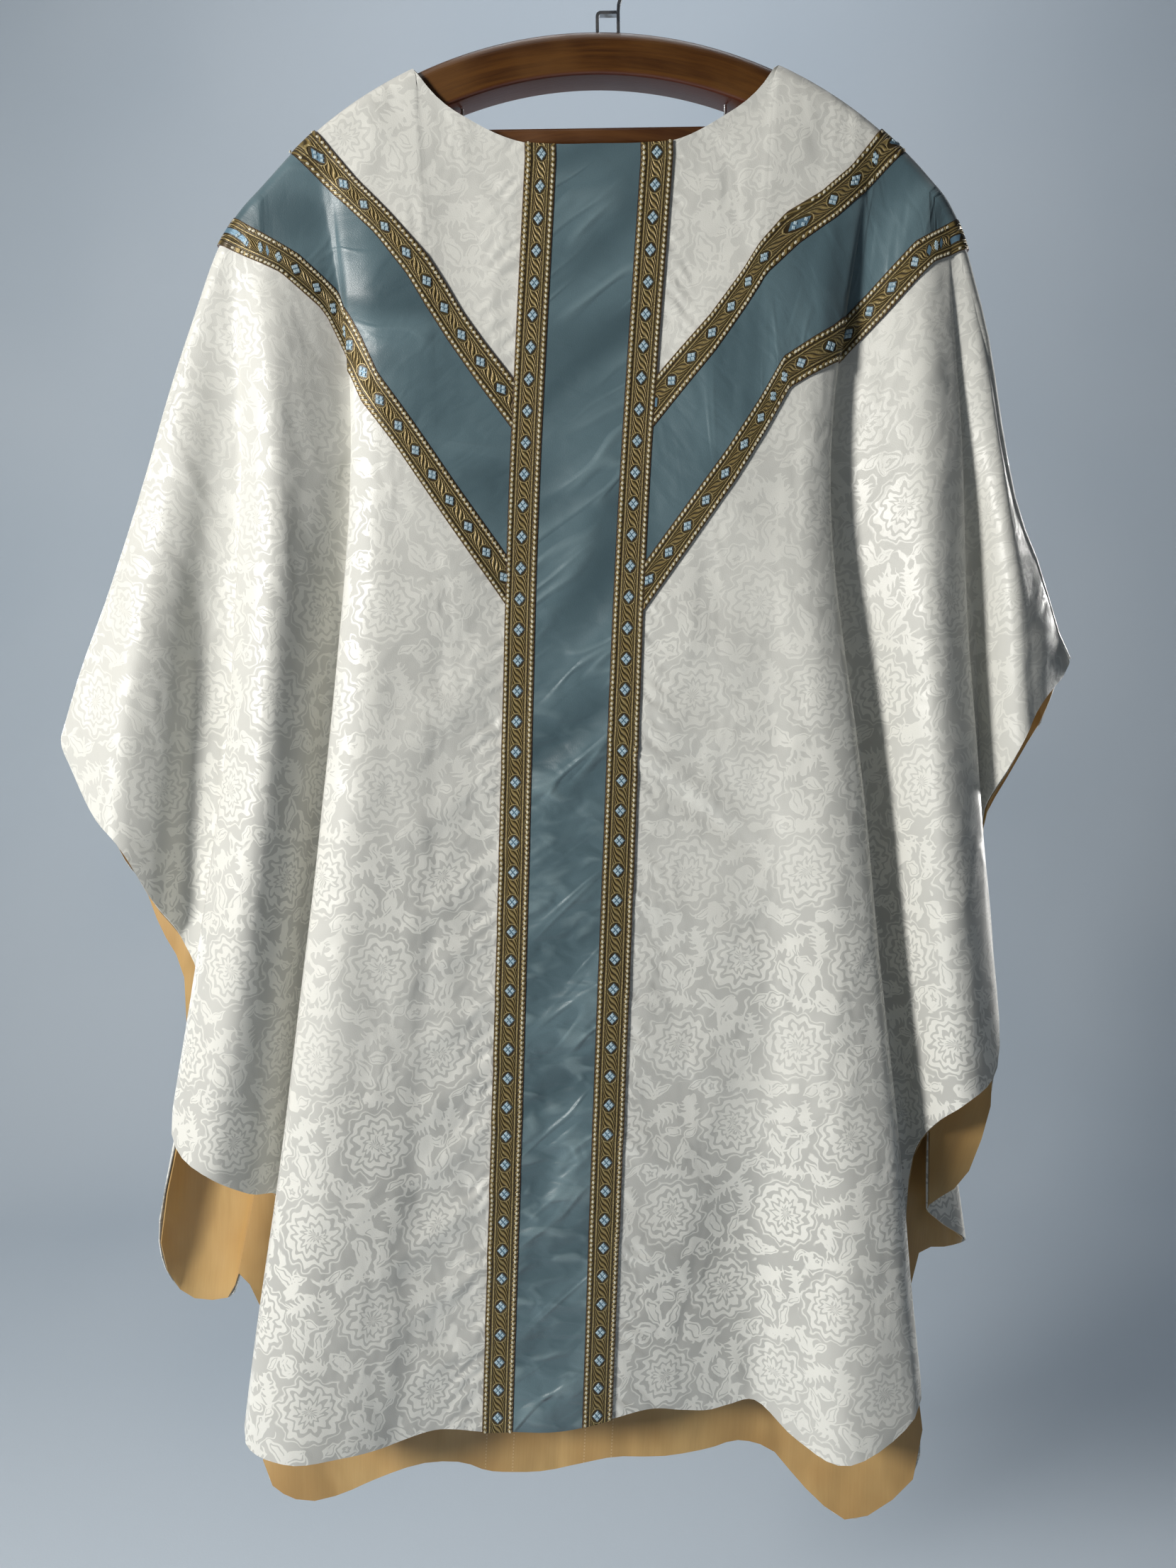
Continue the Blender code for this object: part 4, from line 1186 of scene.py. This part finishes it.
def addBar():
    bm = bmesh.new()
    bmesh.ops.create_cube(bm, size=1.0)
    size = (2 * hanger["barHalfLength"], hanger["barDepth"], hanger["barHeight"])
    bmesh.ops.scale(bm, vec=size, verts=bm.verts[:])
    rounded = {"profile": 0.5, "affect": "EDGES", "material": -1}
    lengthwise = [edge for edge in bm.edges if abs(edge.verts[0].co.x - edge.verts[1].co.x) > 1]
    bmesh.ops.bevel(bm, geom=lengthwise, offset=hanger["barRounding"], segments=8, **rounded)
    atEnd = hanger["barHalfLength"] - 0.01
    ends = [edge for edge in bm.edges if all(abs(vert.co.x) > atEnd for vert in edge.verts)]
    bmesh.ops.bevel(bm, geom=ends, offset=hanger["endRounding"], segments=2, **rounded)
    bmesh.ops.translate(bm, vec=(0, 0, hanger["barMiddle"]), verts=bm.verts[:])
    hardPiece(bm, "bar_of_wood", "bar", "hanger_bar")


def addPin(name, x):
    inner = arch["radius"] - arch["height"]
    radius = hanger["pinDiameter"] / 2
    top = float(archSurface(x, inner)) - cloth["seamGap"] - radius * abs(x) / inner
    bottom = hanger["barMiddle"] + hanger["barHeight"] / 2 + cloth["seamGap"]
    bm = bmesh.new()
    bmesh.ops.create_cone(bm, cap_ends=True, segments=20, radius1=radius, radius2=radius, depth=top - bottom)
    bmesh.ops.translate(bm, vec=(x, 0, (top + bottom) / 2), verts=bm.verts[:])
    hardPiece(bm, name + "_wire", "metal", name)


def addStrap(bm, path, across):
    # a flat strap bent along a path in the X-Z plane: one edge, drawn out to the other and then across
    path = np.array(path, float)
    along = np.gradient(path, axis=0)
    along /= np.linalg.norm(along, axis=1, keepdims=True)
    aside = np.stack([-along[:, 1], along[:, 0]], axis=1) * hanger["hookThickness"] / 2
    width = hanger["hookWidth"]
    outer = []
    for (x, z), (dx, dz) in zip(path + aside, aside):
        vert = bm.verts.new((x, -width / 2, z))
        vert[across] = (-2 * dx, 0, -2 * dz)
        outer.append(vert)
    edges = [bm.edges.new(pair) for pair in zip(outer, outer[1:])]
    made = bmesh.ops.extrude_edge_only(bm, edges=edges)["geom"]
    for vert in (item for item in made if isinstance(item, bmesh.types.BMVert)):
        vert.co += vert[across]
    faces = [item for item in made if isinstance(item, bmesh.types.BMFace)]
    made = bmesh.ops.extrude_face_region(bm, geom=faces, use_keep_orig=True)["geom"]
    moved = [item for item in made if isinstance(item, bmesh.types.BMVert)]
    bmesh.ops.translate(bm, vec=(0, width, 0), verts=moved)


def addHook():
    corner = arch["top"] + hanger["stapleHeight"]
    left, right = hanger["stapleLeft"], hanger["stapleRight"]
    foot = float(archSurface(right + hanger["hookThickness"] / 2, arch["radius"])) + 2 * cloth["seamGap"]
    crown = hanger["hookRadius"] + hanger["hookThickness"] / 2
    leanX, leanZ = hanger["stemLean"]
    path = [(right, foot), (right, corner), (right + leanX, corner + leanZ), (crown, hanger["stemEnd"])]
    for angle in np.radians(np.linspace(0, hanger["crownTurn"], 42)):
        path.append((crown * math.cos(angle), crown * math.sin(angle) - hanger["hookRadius"]))
    foot = float(archSurface(left, arch["radius"])) + 2 * cloth["seamGap"]
    bend = hanger["stapleBend"]
    staple = [(left, foot), (left, corner - bend)]
    for angle in np.radians(np.linspace(170, 95, 6)):
        staple.append((left + bend + bend * math.cos(angle), corner - bend + bend * math.sin(angle)))
    staple.append((right - hanger["hookThickness"] / 2 - 0.02, corner))
    bm = bmesh.new()
    across = bm.verts.layers.float_vector.new("across")
    addStrap(bm, path, across)
    addStrap(bm, staple, across)
    hardPiece(bm, "strap_hook", "metal", "hanger_hook")


addArch()
addBar()
addPin("bar_pin_left", -hanger["pinPlace"])
addPin("bar_pin_right", hanger["pinPlace"])
addHook()
print("hanger made")

# A seamless pale sweep: floor below, wall behind, and a curve between
studio = {"floor": -1.9, "wall": 2.5, "bend": 0.9, "halfWidth": 4.5, "front": -3.6, "top": 3.2}


def addSweep():
    bm = bmesh.new()
    bend = studio["bend"]
    middle = studio["wall"] - bend
    outline = [(studio["front"], studio["floor"]), (middle, studio["floor"])]
    for angle in np.radians(np.linspace(-85, 0, 18)):
        outline.append((middle + bend * math.cos(angle), studio["floor"] + bend + bend * math.sin(angle)))
    outline.append((studio["wall"], studio["top"]))
    verts = [bm.verts.new((-studio["halfWidth"], y, z)) for y, z in outline]
    edges = [bm.edges.new(pair) for pair in zip(verts, verts[1:])]
    made = bmesh.ops.extrude_edge_only(bm, edges=edges)
    moved = [item for item in made["geom"] if isinstance(item, bmesh.types.BMVert)]
    bmesh.ops.translate(bm, vec=(2 * studio["halfWidth"], 0, 0), verts=moved)
    bm.normal_update()
    if sum(face.normal.z for face in bm.faces) < 0:
        bmesh.ops.reverse_faces(bm, faces=bm.faces[:])
    for face in bm.faces:
        face.smooth = True
    mesh = bpy.data.meshes.new("sweep")
    bm.to_mesh(mesh)
    bm.free()
    mesh.materials.append(paleWall())
    sweep = bpy.data.objects.new("sweep", mesh)
    bpy.context.scene.collection.objects.link(sweep)


# Metres and watts; every lamp is a soft disk
Lamp = namedtuple("Lamp", "name place aim size power colour spread")
lamps = (
    Lamp("key", (-2.35, -1.85, 0.1), (0, 0, -0.75), 0.7, 108, (1.0, 0.98, 0.94), 180),
    Lamp("fill", (1.9, -2.6, -0.3), (0, 0, -0.8), 2.2, 1.2, (0.88, 0.94, 1.0), 180),
    Lamp("top", (-0.2, -0.2, 1.9), (0, 0, -0.6), 1.6, 5, (1.0, 0.98, 0.95), 180),
    Lamp("wallWash", (0.2, 0.9, 2.1), (0.5, 2.5, -0.2), 1.8, 18, (0.90, 0.94, 1.0), 180),
    Lamp("rearRight", (2.5, 1.9, -0.45), (0, 0, -0.7), 1.0, 9, (1.0, 0.98, 0.95), 45),
    Lamp("rearLeft", (-2.5, 1.9, -0.55), (0, 0, -0.7), 1.2, 3.5, (0.90, 0.95, 1.0), 45),
)


def addLight(lamp):
    data = bpy.data.lights.new(lamp.name, "AREA")
    data.shape = "DISK"
    data.size = lamp.size
    data.energy = lamp.power
    data.color = lamp.colour
    data.spread = math.radians(lamp.spread)
    made = bpy.data.objects.new(lamp.name, data)
    made.location = lamp.place
    made.rotation_euler = (Vector(lamp.aim) - Vector(lamp.place)).to_track_quat("-Z", "Y").to_euler()
    bpy.context.scene.collection.objects.link(made)


addSweep()
for lamp in lamps:
    addLight(lamp)

# The room past the sweep: pale to look at, and faint as a light
sky = {"colour": (0.80, 0.88, 1.0), "light": 0.04, "seen": 0.55}


def addSky():
    world = bpy.data.worlds.new("soft daylight")
    world.use_nodes = True
    tree = world.node_tree
    faint = tree.nodes["Background"]
    pale = tree.nodes.new("ShaderNodeBackground")
    for node, strength in ((faint, sky["light"]), (pale, sky["seen"])):
        feed(sky["colour"], node.inputs["Color"])
        feed(strength, node.inputs["Strength"])
    seen = tree.nodes.new("ShaderNodeLightPath")
    either = tree.nodes.new("ShaderNodeMixShader")
    tree.links.new(seen.outputs["Is Camera Ray"], either.inputs["Fac"])
    tree.links.new(faint.outputs["Background"], either.inputs[1])
    tree.links.new(pale.outputs["Background"], either.inputs[2])
    tree.links.new(either.outputs["Shader"], tree.nodes["World Output"].inputs["Surface"])
    bpy.context.scene.world = world


addSky()
bpy.context.scene.view_settings.view_transform = "Standard"

# The camera's place in metres and its turns in degrees
view = {"place": (-0.0135, -1.046, -0.5853), "tilt": 84.0, "roll": -0.88, "lens": 27.05, "sensor": 36.0}
lens = bpy.data.cameras.new("camera")
lens.lens = view["lens"]
lens.sensor_width = view["sensor"]
lens.clip_end = 30
camera = bpy.data.objects.new("camera", lens)
tilt = Matrix.Rotation(math.radians(view["tilt"]), 4, "X")
roll = Matrix.Rotation(math.radians(view["roll"]), 4, "Z")
camera.matrix_world = Matrix.Translation(view["place"]) @ tilt @ roll
bpy.context.scene.collection.objects.link(camera)
bpy.context.scene.camera = camera
